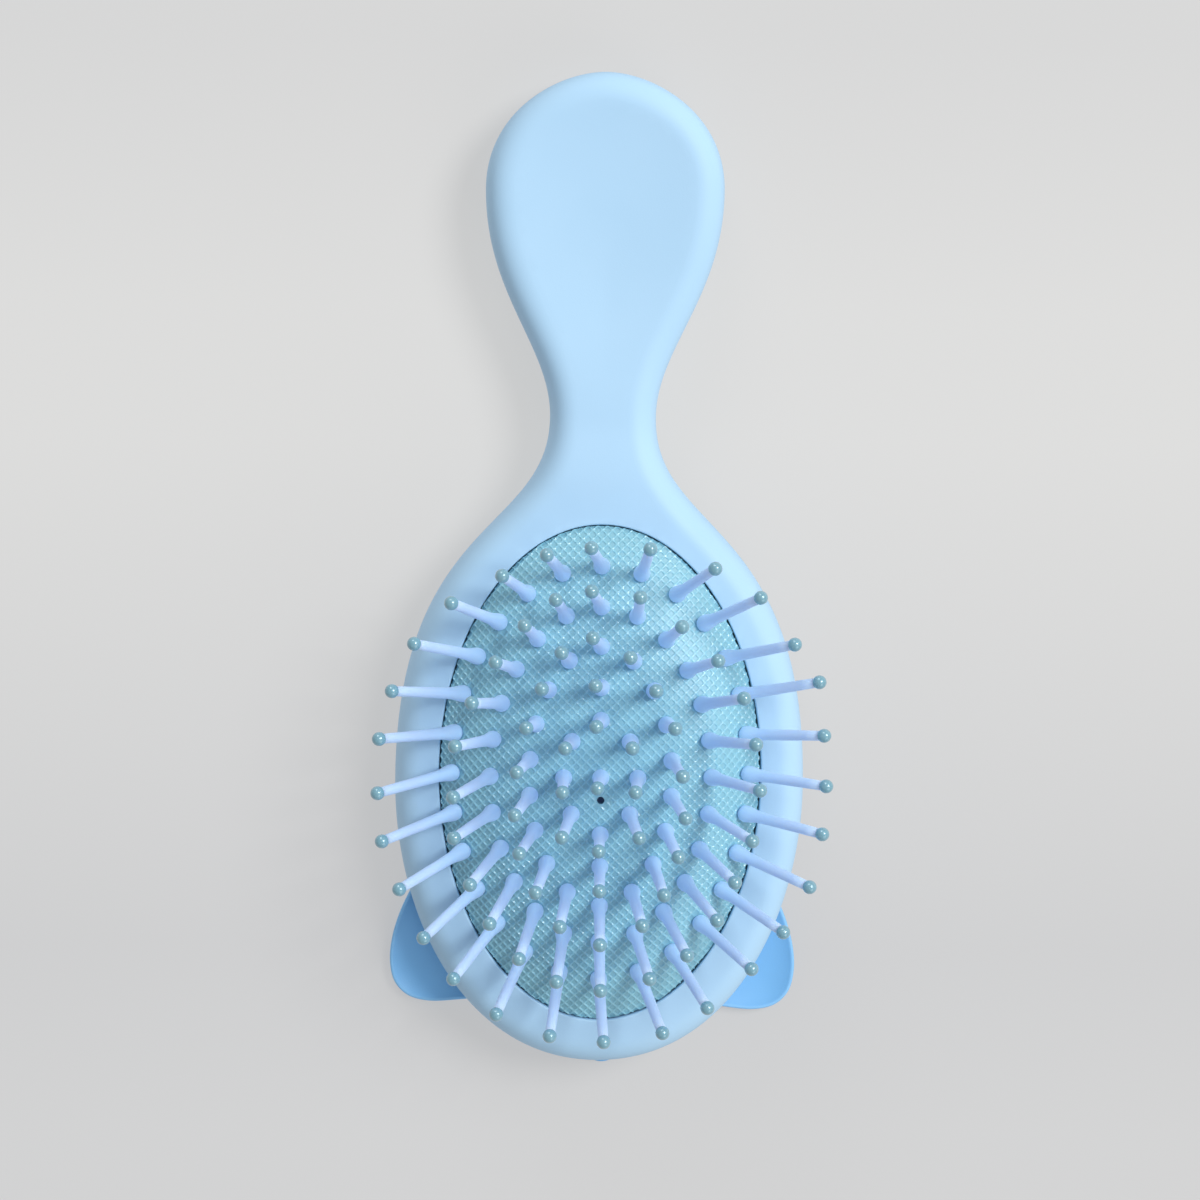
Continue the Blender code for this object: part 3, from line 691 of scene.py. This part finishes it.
class Skin:
    """Points and faces of one closed piece, gathered part by part and welded at the end."""

    def __init__(self):
        self.points = []
        self.faces = []
        self.marks = []

    def rings(self, rings, marks=None):
        """Bands between rings that have the same number of points."""
        count = len(rings[0])
        first = len(self.points)
        for number, ring in enumerate(rings):
            self.points += [tuple(point) for point in ring]
            self.marks += [marks[number] if marks else 0.0] * count
        for level in range(len(rings) - 1):
            low = first + level * count
            for i in range(count):
                j = (i + 1) % count
                self.faces.append((low + i, low + j, low + count + j, low + count + i))

    def sheet(self, places, faces, heights, marks=None):
        """A surface over flat points."""
        first = len(self.points)
        self.points += [(x, y, z) for (x, y), z in zip(places, heights)]
        self.marks += list(marks) if marks is not None else [0.0] * len(places)
        self.faces += [tuple(first + index for index in face) for face in faces]

    def next_ring(self, ring, spots):
        """A band from a ring of points that are here to new ones, which are added."""
        first = len(self.points)
        self.points += [tuple(spot) for spot in spots]
        self.marks += [0.0] * len(ring)
        new = list(range(first, first + len(ring)))
        for i in range(len(ring)):
            j = (i + 1) % len(ring)
            self.faces.append((ring[j], ring[i], new[i], new[j]))
        return new

    def made(self, name, material, mark_name=None, turn=0.0):
        """The piece as an object, in the place of the solids."""
        work = bmesh.new()
        layer = work.verts.layers.float.new(mark_name) if mark_name else None
        corners = [work.verts.new(point) for point in self.points]
        if layer:
            for corner, mark in zip(corners, self.marks):
                corner[layer] = mark
        for face in self.faces:
            work.faces.new([corners[index] for index in face])
        bmesh.ops.remove_doubles(work, verts=work.verts, dist=WELD)
        bmesh.ops.dissolve_degenerate(work, edges=work.edges, dist=WELD / 10)
        bmesh.ops.recalc_face_normals(work, faces=work.faces)
        mesh = bpy.data.meshes.new(name)
        work.to_mesh(mesh)
        work.free()
        mesh.transform(Matrix.Translation((0, SHIFT, 0)) @ Matrix.Rotation(turn, 4, "Z"))
        mesh.shade_smooth()
        mesh.set_sharp_from_angle(angle=SHARP_ANGLE)
        mesh.materials.append(material)
        return new_object(name, mesh)


def at_height(flat, height):
    return [Vector((point.x, point.y, height)) for point in flat]


def declare(piece, body, slot, *nodes):
    """Every piece rides on a body and stands for its solids. The finish slot is not used."""
    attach(piece, body)
    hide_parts(*nodes)


# Body


def face_height(y):
    """Height of the brushing face, before the dish in the handle."""
    fall = (NECK_FACE - HEAD_FACE) * ease(y, HEAD_FLAT_REACH, NECK_REACH)
    return HEAD_FACE + fall + (BULB_FACE - NECK_FACE) * ease(y, NECK_REACH, BULB_FLAT_REACH)


def back_height(y):
    """Height of the back, which reaches the table at the handle."""
    rise = (NECK_BACK - HEAD_BACK) * ease(y, HEAD_FLAT_REACH, NECK_REACH)
    return HEAD_BACK + rise - NECK_BACK * ease(y, NECK_REACH, BULB_FLAT_REACH)


def edge_rings(outline, wall, edge, height_at, sign):
    """Rings from the parting plane over the rounded edge of half of the body."""
    start = PARTING_HEIGHT + sign * SEAM_GAP / 2
    rings = []
    if wall == 0:
        rings.append(at_height(moved_in(outline, SEAM_ROUND), start))
        start += sign * SEAM_ROUND
    for step in range(EDGE_STEPS + 1):
        turn = math.pi / 2 * step / EDGE_STEPS
        inward = edge * (1 - max(math.cos(turn), 0) ** (2 / EDGE_FULLNESS))
        share = math.sin(turn) ** (2 / EDGE_FULLNESS)
        ring = []
        for point in moved_in(outline, wall + inward):
            crown = height_at(point.y) - sign * wall
            ring.append(Vector((point.x, point.y, start + (crown - start) * share)))
        rings.append(ring)
    return rings


def lip_rings():
    """Rings over the rounded lip of the opening and down its wall."""
    rings = []
    for step in range(len(LIP_HIGHLIGHT_MARKS)):
        turn = math.pi / 2 * step / (len(LIP_HIGHLIGHT_MARKS) - 1)
        out = LIP_ROUND * (1 - math.sin(turn))
        flat = oval(OPENING_HALF_WIDTH + out, OPENING_HALF_LENGTH + out, OPENING_DROP)
        rings.append(at_height(flat, HEAD_FACE - LIP_ROUND * (1 - math.cos(turn))))
    return rings + [at_height(flat, HEAD_FACE - SHELL_WALL)]


def half_body(name, edge, height_at, sign, material, opening):
    """Half of the body: outer and inner skin, joined at the seam and round the opening."""
    outline = body_outline()
    skin = Skin()
    outer = edge_rings(outline, 0, edge, height_at, sign)
    inner = edge_rings(outline, SHELL_WALL, edge, height_at, sign)
    # Marks for the painted highlight, strongest halfway round the rounded edge of the body.
    rim = [1 - abs(2 * i / (len(outer) - 1) - 1) for i in range(len(outer))]
    skin.rings([inner[0]] + outer, [0.0] + rim)
    skin.rings(inner)
    holes = ([], [])
    if opening:
        rings = lip_rings()
        holes = ([[point.xy for point in rings[0]]], [[point.xy for point in rings[-1]]])
        skin.rings(rings, [*LIP_HIGHLIGHT_MARKS, 0.0])
    for ring, hole, wall, step in (
        (outer[-1], holes[0], 0, FACE_NET), (inner[-1], holes[1], SHELL_WALL, INNER_FACE_NET)
    ):
        flat = [point.xy for point in ring]
        places, faces = net_within(flat, hole, step)
        heights = height_at(places[:, 1]) - sign * wall
        if opening and wall == 0:
            middle = np.clip(depth_inside(places, flat) / (BULB_HALF_WIDTH - edge), 0, 1)
            dish = BULB_DISH * ease(places[:, 1], NECK_REACH, BULB_FLAT_REACH)
            heights = heights - dish * (1 - (1 - middle) ** 2)
        skin.sheet(places, faces, heights)
    return skin.made(name, material, "rim")


# Rubber cushion and pins


def crown_power(across):
    """Power of the crown's fall in a direction, by its part across the cushion."""
    side = across**2
    return CROWN_POWER_ACROSS * side + CROWN_POWER_ALONG * (1 - side)


def crown_height(x, y, edge=EDGE_RAISE):
    """Height of the cushion's outer skin above the edge of its solid."""
    across = x / CUSHION_HALF_WIDTH
    along = (y + OPENING_DROP) / CUSHION_HALF_LENGTH
    reach = np.maximum(np.hypot(across, along), WELD)
    return edge + (CUSHION_CROWN - edge) * (1 - reach ** crown_power(across / reach))


def crown_normals(x, y, edge=EDGE_RAISE):
    """Directions square to the cushion's outer skin."""
    step = SLOPE_STEP
    slope_x = (crown_height(x + step, y, edge) - crown_height(x - step, y, edge)) / (2 * step)
    slope_y = (crown_height(x, y + step, edge) - crown_height(x, y - step, edge)) / (2 * step)
    normals = np.stack([-slope_x, -slope_y, np.ones_like(slope_x)], axis=-1)
    return normals / np.linalg.norm(normals, axis=-1, keepdims=True)


def laid_on_crown(x, y):
    """Flat places of points that are given by distances along the crown's skin from its middle."""
    away = np.maximum(np.hypot(x, y), WELD)
    across = x / away / CUSHION_HALF_WIDTH
    along = y / away / CUSHION_HALF_LENGTH
    reach = 1 / np.hypot(across, along)
    power = crown_power(across * reach)
    fall = (CUSHION_CROWN - EDGE_RAISE) * power / reach
    share = away / reach
    for _ in range(CROWN_ROUNDS):
        slopes = [fall * (share * (i + 0.5) / CROWN_STEPS) ** (power - 1) for i in range(CROWN_STEPS)]
        stretch = sum(np.sqrt(1 + slope * slope) for slope in slopes) / CROWN_STEPS
        share = np.minimum(away / reach / stretch, FARTHEST_SHARE)
    return x * share * reach / away, y * share * reach / away


def pin_at(x, y):
    """Root and direction of a pin, which leans a little more than the skin of the solid."""
    normal = Vector(crown_normals(x, y, 0))
    root = Vector((x, y, HEAD_EDGE_HEIGHT + crown_height(x, y)))
    lean = math.acos(min(normal.z, 1)) * PIN_LEAN_SHARE
    return root, Vector((*(normal.xy.normalized() * math.sin(lean)), math.cos(lean)))


def pins_by_body():
    """Root and direction of every pin, at equal steps along four ovals and down the middle."""
    pins = {}
    for body, across, along, count in OVALS:
        trace = oval(OPENING_HALF_WIDTH * across, OPENING_HALF_LENGTH * along, 0, TRACE_STEPS)
        trace.append(trace[0])
        trace = np.array([point[:] for point in trace])
        travelled = np.insert(np.cumsum(np.linalg.norm(np.diff(trace, axis=0), axis=1)), 0, 0)
        goals = travelled[-1] * np.arange(count) / count
        spots = zip(np.interp(goals, travelled, trace[:, 0]), np.interp(goals, travelled, trace[:, 1]))
        pins[body] = [pin_at(x, y) for x, y in spots]
    row_end = OPENING_HALF_LENGTH * ROW_END_SHARE
    pins["centre_pins"] += [pin_at(0, reach) for reach in (row_end, 0, -row_end)]
    low, high = (corner.x for corner in solid_bounds)
    for body, group in pins.items():
        for number, (root, axis) in enumerate(group):
            tip = root + axis * PIN_LENGTH + Vector((*TIP_STRAYS[body][number], 0)) * TENTH
            # No ball stands out past the width of the solids.
            tip.x = min(max(tip.x, low + BALL_RADIUS), high - BALL_RADIUS)
            flat = (tip - root).xy / PIN_LENGTH
            group[number] = (root, Vector((*flat, math.sqrt(1 - flat.length_squared))))
    return pins


def lattice_lines(reach):
    """Places of the lines across one direction of the lattice, with 1 on a ridge and 0 between."""
    count = int(reach / LATTICE_PITCH) + 2
    middles = np.arange(-count, count + 1) * LATTICE_PITCH
    offsets = np.array([-RIDGE_FOOT, -RIDGE_TOP, RIDGE_TOP, RIDGE_FOOT, LATTICE_PITCH]) / 2
    return (middles[:, None] + offsets).reshape(-1), np.tile([0, 1, 1, 0, 0], len(middles))


def lattice_grid():
    """Places and ridges of the lattice's corners, its cells on the oval, and how far its edge is sunk."""
    lines, high = lattice_lines(CUSHION_HALF_LENGTH * LATTICE_SPARE)
    u, v = np.meshgrid(lines, lines, indexing="ij")
    ridge = np.maximum(*np.meshgrid(high, high, indexing="ij")).astype(float)
    x, y = laid_on_crown((u - v) / math.sqrt(2), (u + v) / math.sqrt(2) + OPENING_DROP)
    reach = np.hypot(x / CUSHION_HALF_WIDTH, y / CUSHION_HALF_LENGTH)
    outer = np.maximum(reach, 1)
    sink = EDGE_SINK * (1 - ease((1 - reach) * CUSHION_HALF_WIDTH, 0, PLAIN_EDGE))
    return x / outer, y / outer - OPENING_DROP, ridge, cells_with(reach < 1), sink


def cells_with(marked):
    """Cells of a grid that have a marked point at a corner."""
    return marked[:-1, :-1] | marked[1:, :-1] | marked[:-1, 1:] | marked[1:, 1:]


def corners_of(cells):
    """Points of a grid at the corners of marked cells."""
    return cells_with(np.pad(cells, 1))


def open_loops(faces):
    """Rings of points along the edges that only one face has, the longest last."""
    sides = dict.fromkeys(side for face in faces for side in zip(face, face[1:] + face[:1]))
    nexts = {a: b for a, b in sides if (b, a) not in sides}
    loops = []
    while nexts:
        start = next(iter(nexts))
        loop = [start]
        step = nexts.pop(start)
        while step != start:
            loop.append(step)
            step = nexts.pop(step)
        loops.append(loop)
    return sorted(loops, key=len)


def turns_of(x, y):
    """Turns of the rim's points about the middle, in order and a little apart, so that it never folds."""
    turns = np.unwrap(np.arctan2(x / CUSHION_HALF_WIDTH, (y + OPENING_DROP) / CUSHION_HALF_LENGTH))
    way = np.sign(turns[-1] - turns[0])
    least = np.arange(len(turns)) * RIM_STEP / CUSHION_HALF_WIDTH
    return (np.maximum.accumulate(np.sort(turns * way) - least) + least) * way


def cut_holes(x, y, kept, holes):
    """The grid with round holes cut, the hole at each point, and 0 where the rubber is plain."""
    owner = np.full(x.shape, -1)
    plain = np.ones(x.shape)
    for number, (mid_x, mid_y, radius, axis, ring) in enumerate(holes):
        normal = crown_normals(mid_x, mid_y)
        slope = Vector(normal[:2])
        side = slope.normalized() if slope.length > WELD else Vector((1, 0))
        down = ((x - mid_x) * side.x + (y - mid_y) * side.y) / normal[2]
        across = (y - mid_y) * side.x - (x - mid_x) * side.y
        away = np.hypot(down, across)
        near = away < radius
        star = cells_with(near)
        kept = kept & ~star
        edge = corners_of(star) & ~near
        pull = np.where(edge, radius / np.maximum(away, WELD), 1)
        x = np.where(edge, mid_x + (side.x * down * normal[2] - side.y * across) * pull, x)
        y = np.where(edge, mid_y + (side.y * down * normal[2] + side.x * across) * pull, y)
        owner[edge] = number
        plain = np.minimum(plain, ease(away, ring - PLAIN_EDGE / 2, ring + PLAIN_EDGE / 2))
    return x, y, kept, owner, plain


def air_cushion(material, pins):
    """Rubber dome with its lattice of ridges, a hole for each pin and one for the air."""
    x, y, ridge, kept, sink = lattice_grid()
    holes = [(root.x, root.y, HOLE_RADIUS, axis, PLAIN_RING) for root, axis in pins]
    vent_axis = Vector(crown_normals(0, -VENT_DROP))
    holes.append((0, -VENT_DROP, VENT_RADIUS, vent_axis, PLAIN_VENT_RING))
    x, y, kept, owner, plain = cut_holes(x, y, kept, holes)

    index = np.arange(x.size).reshape(x.shape)
    corners = (index[:-1, :-1], index[1:, :-1], index[1:, 1:], index[:-1, 1:])
    used, quads = np.unique(np.stack([corner[kept] for corner in corners], axis=1), return_inverse=True)
    grids = (x, y, ridge, plain, sink, owner)
    x, y, ridge, plain, sink, owner = (grid.reshape(-1)[used] for grid in grids)
    skin = Skin()
    skin.faces = [tuple(quad) for quad in quads.reshape(-1, 4).tolist()]
    *hole_loops, rim = open_loops(skin.faces)
    top = int(np.argmax(y[rim]))
    rim = rim[top:] + rim[:top]
    turns = turns_of(x[rim], y[rim])
    x[rim] = CUSHION_HALF_WIDTH * np.sin(turns)
    y[rim] = CUSHION_HALF_LENGTH * np.cos(turns) - OPENING_DROP

    lift = ((ridge - 0.5) * (RIDGE_HEIGHT + sink) - sink) * plain
    spots = np.stack([x, y, HEAD_EDGE_HEIGHT + crown_height(x, y)], axis=-1)
    spots += crown_normals(x, y) * lift[:, None]
    skin.points = [tuple(point) for point in spots]
    skin.marks = (ridge * plain).tolist()

    ring = rim
    under_lip = -EDGE_GAP - CUSHION_FLANGE
    for inward, height in (
        (0, FLANGE_TOP), (under_lip, FLANGE_TOP), (under_lip, FLANGE_BOTTOM),
        (CUSHION_WALL, FLANGE_BOTTOM), (CUSHION_WALL, FLANGE_TOP),
    ):
        across = (CUSHION_HALF_WIDTH - inward) * np.sin(turns)
        along = (CUSHION_HALF_LENGTH - inward) * np.cos(turns) - OPENING_DROP
        spots = [(*spot, height) for spot in zip(across.tolist(), along.tolist())]
        ring = skin.next_ring(ring, spots)
    inner = [ring]
    for loop in hole_loops:
        axis = holes[owner[loop[0]]][3]
        inner.append(skin.next_ring(loop, [Vector(skin.points[i]) - axis * CUSHION_WALL for i in loop]))

    flat = [[Vector(skin.points[index][:2]) for index in loop] for loop in inner]
    places, net = net_within(flat[0], flat[1:], INNER_NET)
    indices = [index for loop in inner for index in loop]
    for spot_x, spot_y in places[len(indices) :]:
        root = Vector((spot_x, spot_y, HEAD_EDGE_HEIGHT + crown_height(spot_x, spot_y)))
        indices.append(len(skin.points))
        skin.points.append(tuple(root - Vector(crown_normals(spot_x, spot_y)) * CUSHION_WALL))
        skin.marks.append(0.0)
    skin.faces += [tuple(indices[index] for index in reversed(face)) for face in net]
    return skin.made("air_cushion_skin", material, "ridge")


# Pins, made by one tree of nodes


def pin_tree(shaft, ball):
    """Geometry nodes that stand a shaft and a ball on every point, along its axis."""
    tree = bpy.data.node_groups.new("ball_tipped_pins", "GeometryNodeTree")
    interface = tree.interface
    interface.new_socket("Roots", in_out="INPUT", socket_type="NodeSocketGeometry")
    for name, kind, _ in PIN_SIZES:
        interface.new_socket(name, in_out="INPUT", socket_type=kind)
    interface.new_socket("Pins", in_out="OUTPUT", socket_type="NodeSocketGeometry")

    def node(kind, settings=(), *first, **named):
        return new_node(tree, kind, settings, *first, **named)

    def maths(operation, first, second):
        return node("ShaderNodeMath", {"operation": operation}, first, second).outputs[0]

    def table(factor, values):
        """A curve that takes these values at equal steps."""
        made = node("ShaderNodeFloatCurve", Value=factor)
        points = made.mapping.curves[0].points
        last = len(values) - 1
        for spot, value in enumerate(values):
            if spot in (0, last):
                point = points[-1 if spot else 0]
                point.location = (spot / last, value)
            else:
                point = points.new(spot / last, value)
            point.handle_type = "VECTOR"
        made.mapping.update()
        return made.outputs[0]

    sizes = node("NodeGroupInput").outputs
    rings = len(PIN_PROFILE) - 1
    foot = PIN_PROFILE[0][0]
    run = PIN_PROFILE[-1][0] - foot
    widest = max(radius for height, radius in PIN_PROFILE)
    tube = node(
        "GeometryNodeMeshCylinder", Vertices=sizes["Sides"], Side_Segments=rings, Radius=1.0, Depth=1.0
    )
    place = node("ShaderNodeSeparateXYZ", Vector=node("GeometryNodeInputPosition").outputs[0]).outputs
    share = maths("ADD", place["Z"], 0.5)
    height = table(share, [(height - foot) / run for height, radius in PIN_PROFILE])
    radius = table(share, [radius / widest for height, radius in PIN_PROFILE])
    wide = maths("MULTIPLY", radius, widest)
    rise = maths("ADD", maths("MULTIPLY", height, run), foot)
    across = maths("MULTIPLY", place["X"], wide)
    moved = node("ShaderNodeCombineXYZ", X=across, Y=maths("MULTIPLY", place["Y"], wide), Z=rise)
    shaped = node("GeometryNodeSetPosition", Geometry=tube.outputs["Mesh"], Position=moved.outputs[0])
    sphere = node(
        "GeometryNodeMeshUVSphere", Segments=sizes["Sides"], Rings=BALL_RINGS, Radius=sizes["Ball Radius"]
    )
    up = node("ShaderNodeCombineXYZ", Z=sizes["Pin Length"]).outputs[0]
    raised = node("GeometryNodeTransform", Geometry=sphere.outputs["Mesh"], Translation=up)
    axis = node("GeometryNodeInputNamedAttribute", {"data_type": "FLOAT_VECTOR"}, Name="axis")
    lean = node("FunctionNodeAlignRotationToVector", {"axis": "Z"}, Vector=axis.outputs["Attribute"])
    join = node("GeometryNodeJoinGeometry")
    along = maths("DIVIDE", place["Z"], sizes["Pin Length"])
    for form, material in ((shaped, shaft), (raised, ball)):
        marked = node(
            "GeometryNodeStoreNamedAttribute", {"data_type": "FLOAT", "domain": "POINT"},
            Geometry=form.outputs[0], Name="rise", Value=along,
        )
        smooth = node("GeometryNodeSetShadeSmooth", Geometry=marked.outputs[0]).outputs[0]
        copies = node(
            "GeometryNodeInstanceOnPoints", Points=sizes["Roots"], Instance=smooth, Rotation=lean.outputs[0]
        )
        real = node("GeometryNodeRealizeInstances", Geometry=copies.outputs[0])
        painted = node("GeometryNodeSetMaterial", Geometry=real.outputs[0], Material=material)
        tree.links.new(painted.outputs[0], join.inputs[0])
    node("NodeGroupOutput", Pins=join.outputs[0])
    return tree


def stand_pins(name, pins, tree):
    """The pins of one body as one plain mesh."""
    mesh = bpy.data.meshes.new(name)
    mesh.from_pydata([root + Vector((0, SHIFT, 0)) for root, axis in pins], [], [])
    axes = mesh.attributes.new("axis", "FLOAT_VECTOR", "POINT")
    for value, (root, axis) in zip(axes.data, pins):
        value.vector = axis
    made = new_object(name, mesh)
    step = made.modifiers.new("pins", "NODES")
    step.node_group = tree
    sizes = {name: value for name, _, value in PIN_SIZES}
    for item in tree.interface.items_tree:
        if item.in_out == "INPUT" and item.name in sizes:
            step[item.identifier] = sizes[item.name]
    graph = bpy.context.evaluated_depsgraph_get()
    plain = bpy.data.meshes.new_from_object(made.evaluated_get(graph))
    made.modifiers.remove(step)
    made.data = plain
    return made


# Ear plate and foam pad


def ear_plate(material):
    """Plate behind the head: an oval with two dished ears, a small crest and a recess for the pad."""
    plate = oval(PLATE_HALF_WIDTH, PLATE_HALF_LENGTH)
    ear = through(EAR_SPOTS, EAR_STEPS)
    other_ear = [Vector((-spot.x, spot.y)) for spot in reversed(ear)]
    forms = [plate, ear, other_ear, hull_of_corners(CREST_CORNERS)]
    forms = [evenly(form, PLATE_NET) for form in forms]
    recess = oval(PAD_HALF_WIDTH + FIT_GAP, PAD_HALF_LENGTH + FIT_GAP)
    recess_top = oval(PAD_HALF_WIDTH + RECESS_TOP_GAP, PAD_HALF_LENGTH + RECESS_TOP_GAP)
    plan, edges = plan_of(forms + [recess, recess_top])
    for form in forms:
        for distance in ROW_DEPTHS:
            plan += moved_in(form, distance)

    def depth_in_plate(spots):
        return np.max([depth_inside(spots, form) for form in forms], axis=0)

    ends = zip(PLATE_GRID_LOW, PLATE_GRID_HIGH)
    grid = staggered(*(np.arange(low, high, PLATE_NET) for low, high in ends), PLATE_NET)
    plan += [Vector(spot) for spot in grid[depth_in_plate(grid) > GRID_DEPTH]]
    places, faces = net_over(plan, edges, WELD, lambda middles: depth_in_plate(middles) > 0)

    depths = [np.maximum(depth_inside(places, form), 0) for form in forms]
    depth = np.max(depths, axis=0)
    low = np.full(len(places), PLATE_THICKNESS)
    for form_depth, base in zip(depths, (0, EAR_RISE, EAR_RISE, EAR_RISE)):
        edge = PLATE_EDGE - base
        inward = np.minimum(form_depth / edge, 1)
        low = np.minimum(low, base + edge * (1 - np.sqrt(1 - (1 - inward) ** 2)))
    bite = np.minimum(depth / RIM_ROUND, 1)
    high = PLATE_THICKNESS - RIM_ROUND * (1 - np.sqrt(1 - (1 - bite) ** 2))
    for form_depth in depths[1:3]:
        high -= EAR_DISH_DEPTH * (1 - np.exp(-np.maximum(form_depth - EAR_RIM, 0) / EAR_DISH_RUN))
    in_recess = depth_inside(places, recess) > -WELD
    high = np.where(in_recess, PLATE_THICKNESS - PAD_RECESS, high)
    ear_depth = np.maximum(*depths[1:3])
    # Band along the top of each ear's rim, which the ear material paints paler as a highlight.
    rim = ease(ear_depth, 0, RIM_ROUND) * (1 - ease(ear_depth, EAR_RIM, EAR_RIM_END))

    skin = Skin()
    skin.sheet(places, faces, high, rim)
    skin.sheet(places, [tuple(reversed(face)) for face in faces], low)
    sides = {(face[i], face[(i + 1) % 3]) for face in faces for i in range(3)}
    count = len(places)
    for a, b in sides:
        if (b, a) not in sides:
            skin.faces.append((b, a, count + a, count + b))
    return skin.made("dished_ear_plate", material, "rim", PLATE_TURN)


def foam_pad(material):
    """Oval pad with soft edges, between the plate and the back of the head."""
    low = PLATE_THICKNESS - PAD_RECESS + FIT_GAP
    high = HEAD_BACK - FIT_GAP
    rounding = (high - low) / 2
    skin = Skin()
    rings = []
    for step in range(PAD_EDGE_STEPS + 1):
        turn = math.pi * step / PAD_EDGE_STEPS
        inward = rounding * PAD_EDGE_SHARE * (1 - math.sin(turn))
        flat = moved_in(oval(PAD_HALF_WIDTH, PAD_HALF_LENGTH), inward)
        rings.append(at_height(flat, (low + high) / 2 - rounding * math.cos(turn)))
    skin.rings(rings)
    for ring, height in ((rings[0], low), (rings[-1], high)):
        places, faces = net_within([point.xy for point in ring], [], PAD_NET)
        skin.sheet(places, faces, np.full(len(places), height))
    return skin.made("soft_foam_pad", material, None, PLATE_TURN)


# Studio


def area_light(name, place, size, power, colour):
    """Round lamp that points at the middle of the brush."""
    lamp = bpy.data.lights.new(name, "AREA")
    lamp.shape = "DISK"
    lamp.size = size
    lamp.energy = power
    lamp.color = colour
    made = new_object(name, lamp)
    made.location = place
    made.rotation_euler = (Vector(LAMP_TARGET) - Vector(place)).to_track_quat("-Z", "Y").to_euler()


def pale_floor():
    """Grey floor whose slight glow is painted light that lifts the shadows on it, with a painted fall of
    light from palest beside the neck to darkest beside the tip.
    """
    finish = Finish("pale_floor", Specular_IOR_Level=0.2)
    cloud = finish.noise(0.4)
    place = finish.node("ShaderNodeSeparateXYZ", Vector=finish.place)
    # Painted light falloff along the floor, darkest beside the tip.
    share = 0.5 - Reading(finish, place.outputs["Y"]) * FLOOR_TONES_PER_METRE
    painted_falloff = finish.ramp(share, (0.22, 0.4), (0.36, 0.0), (0.43, 0.0), (0.70, 0.85), (0.80, 0.65))
    return finish.set(
        Base_Color=finish.mix(cloud, (0.175, 0.175, 0.175), (0.185, 0.185, 0.185)),
        Roughness=0.7 + cloud * 0.1,
        Emission_Color=finish.mix(painted_falloff, (1.0, 1.0, 0.99), (0.79, 0.795, 0.81)),
        # The glow is painted light, which lightens the floor's shadows.
        Emission_Strength=0.52,
    )


def studio():
    """Pale floor, a soft key light from the upper right, and two weaker lights."""
    half = FLOOR_HALF_WIDTH
    mesh = bpy.data.meshes.new("floor")
    corners = ((-half, -half), (half, -half), (half, half), (-half, half))
    mesh.from_pydata([(x, y, -FLOOR_SINK) for x, y in corners], [], [(0, 1, 2, 3)])
    mesh.materials.append(pale_floor())
    new_object("floor", mesh)

    world = bpy.data.worlds.new("studio")
    world.use_nodes = True
    background = world.node_tree.nodes["Background"]
    background.inputs["Color"].default_value = (*WORLD_COLOUR, 1)
    background.inputs["Strength"].default_value = WORLD_STRENGTH
    bpy.context.scene.world = world
    for lamp in LAMPS:
        area_light(*lamp)
    bpy.context.scene.view_settings.view_transform = "Standard"


def main():
    camera()
    body_blue = soft_blue_plastic()
    ear_blue = ear_blue_plastic()
    pins = pins_by_body()

    front = half_body("front_skin", FACE_EDGE, face_height, 1, body_blue, opening=True)
    declare(front, "brush_body", "soft_blue", "front_shell")
    back = half_body("back_skin", BACK_EDGE, back_height, -1, body_blue, opening=False)
    declare(back, "brush_body", "soft_blue", "back_shell")
    plate = ear_plate(ear_blue)
    declare(plate, "brush_body", "ear_blue", "ear_plate")
    pad = foam_pad(foam())
    declare(pad, "brush_body", "pad_foam", "adhesive_pad")

    cushion = air_cushion(teal_rubber(), [pin for group in pins.values() for pin in group])
    declare(cushion, "brush_body", "teal_rubber", "air_cushion")
    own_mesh(cushion)

    tree = pin_tree(lavender_plastic(), pearl_lacquer())
    bodies = frame["record"]["behaviour"]["bodies"]
    for body, group in pins.items():
        made = stand_pins(f"{body}_with_balls", group, tree)
        declare(made, body, "lavender_plastic", *bodies[body])

    base = frame["nodes"]["cushion_base_plate"]
    moulding = plain_moulding()
    base.data.materials.clear()
    base.data.materials.append(moulding)
    studio()


main()
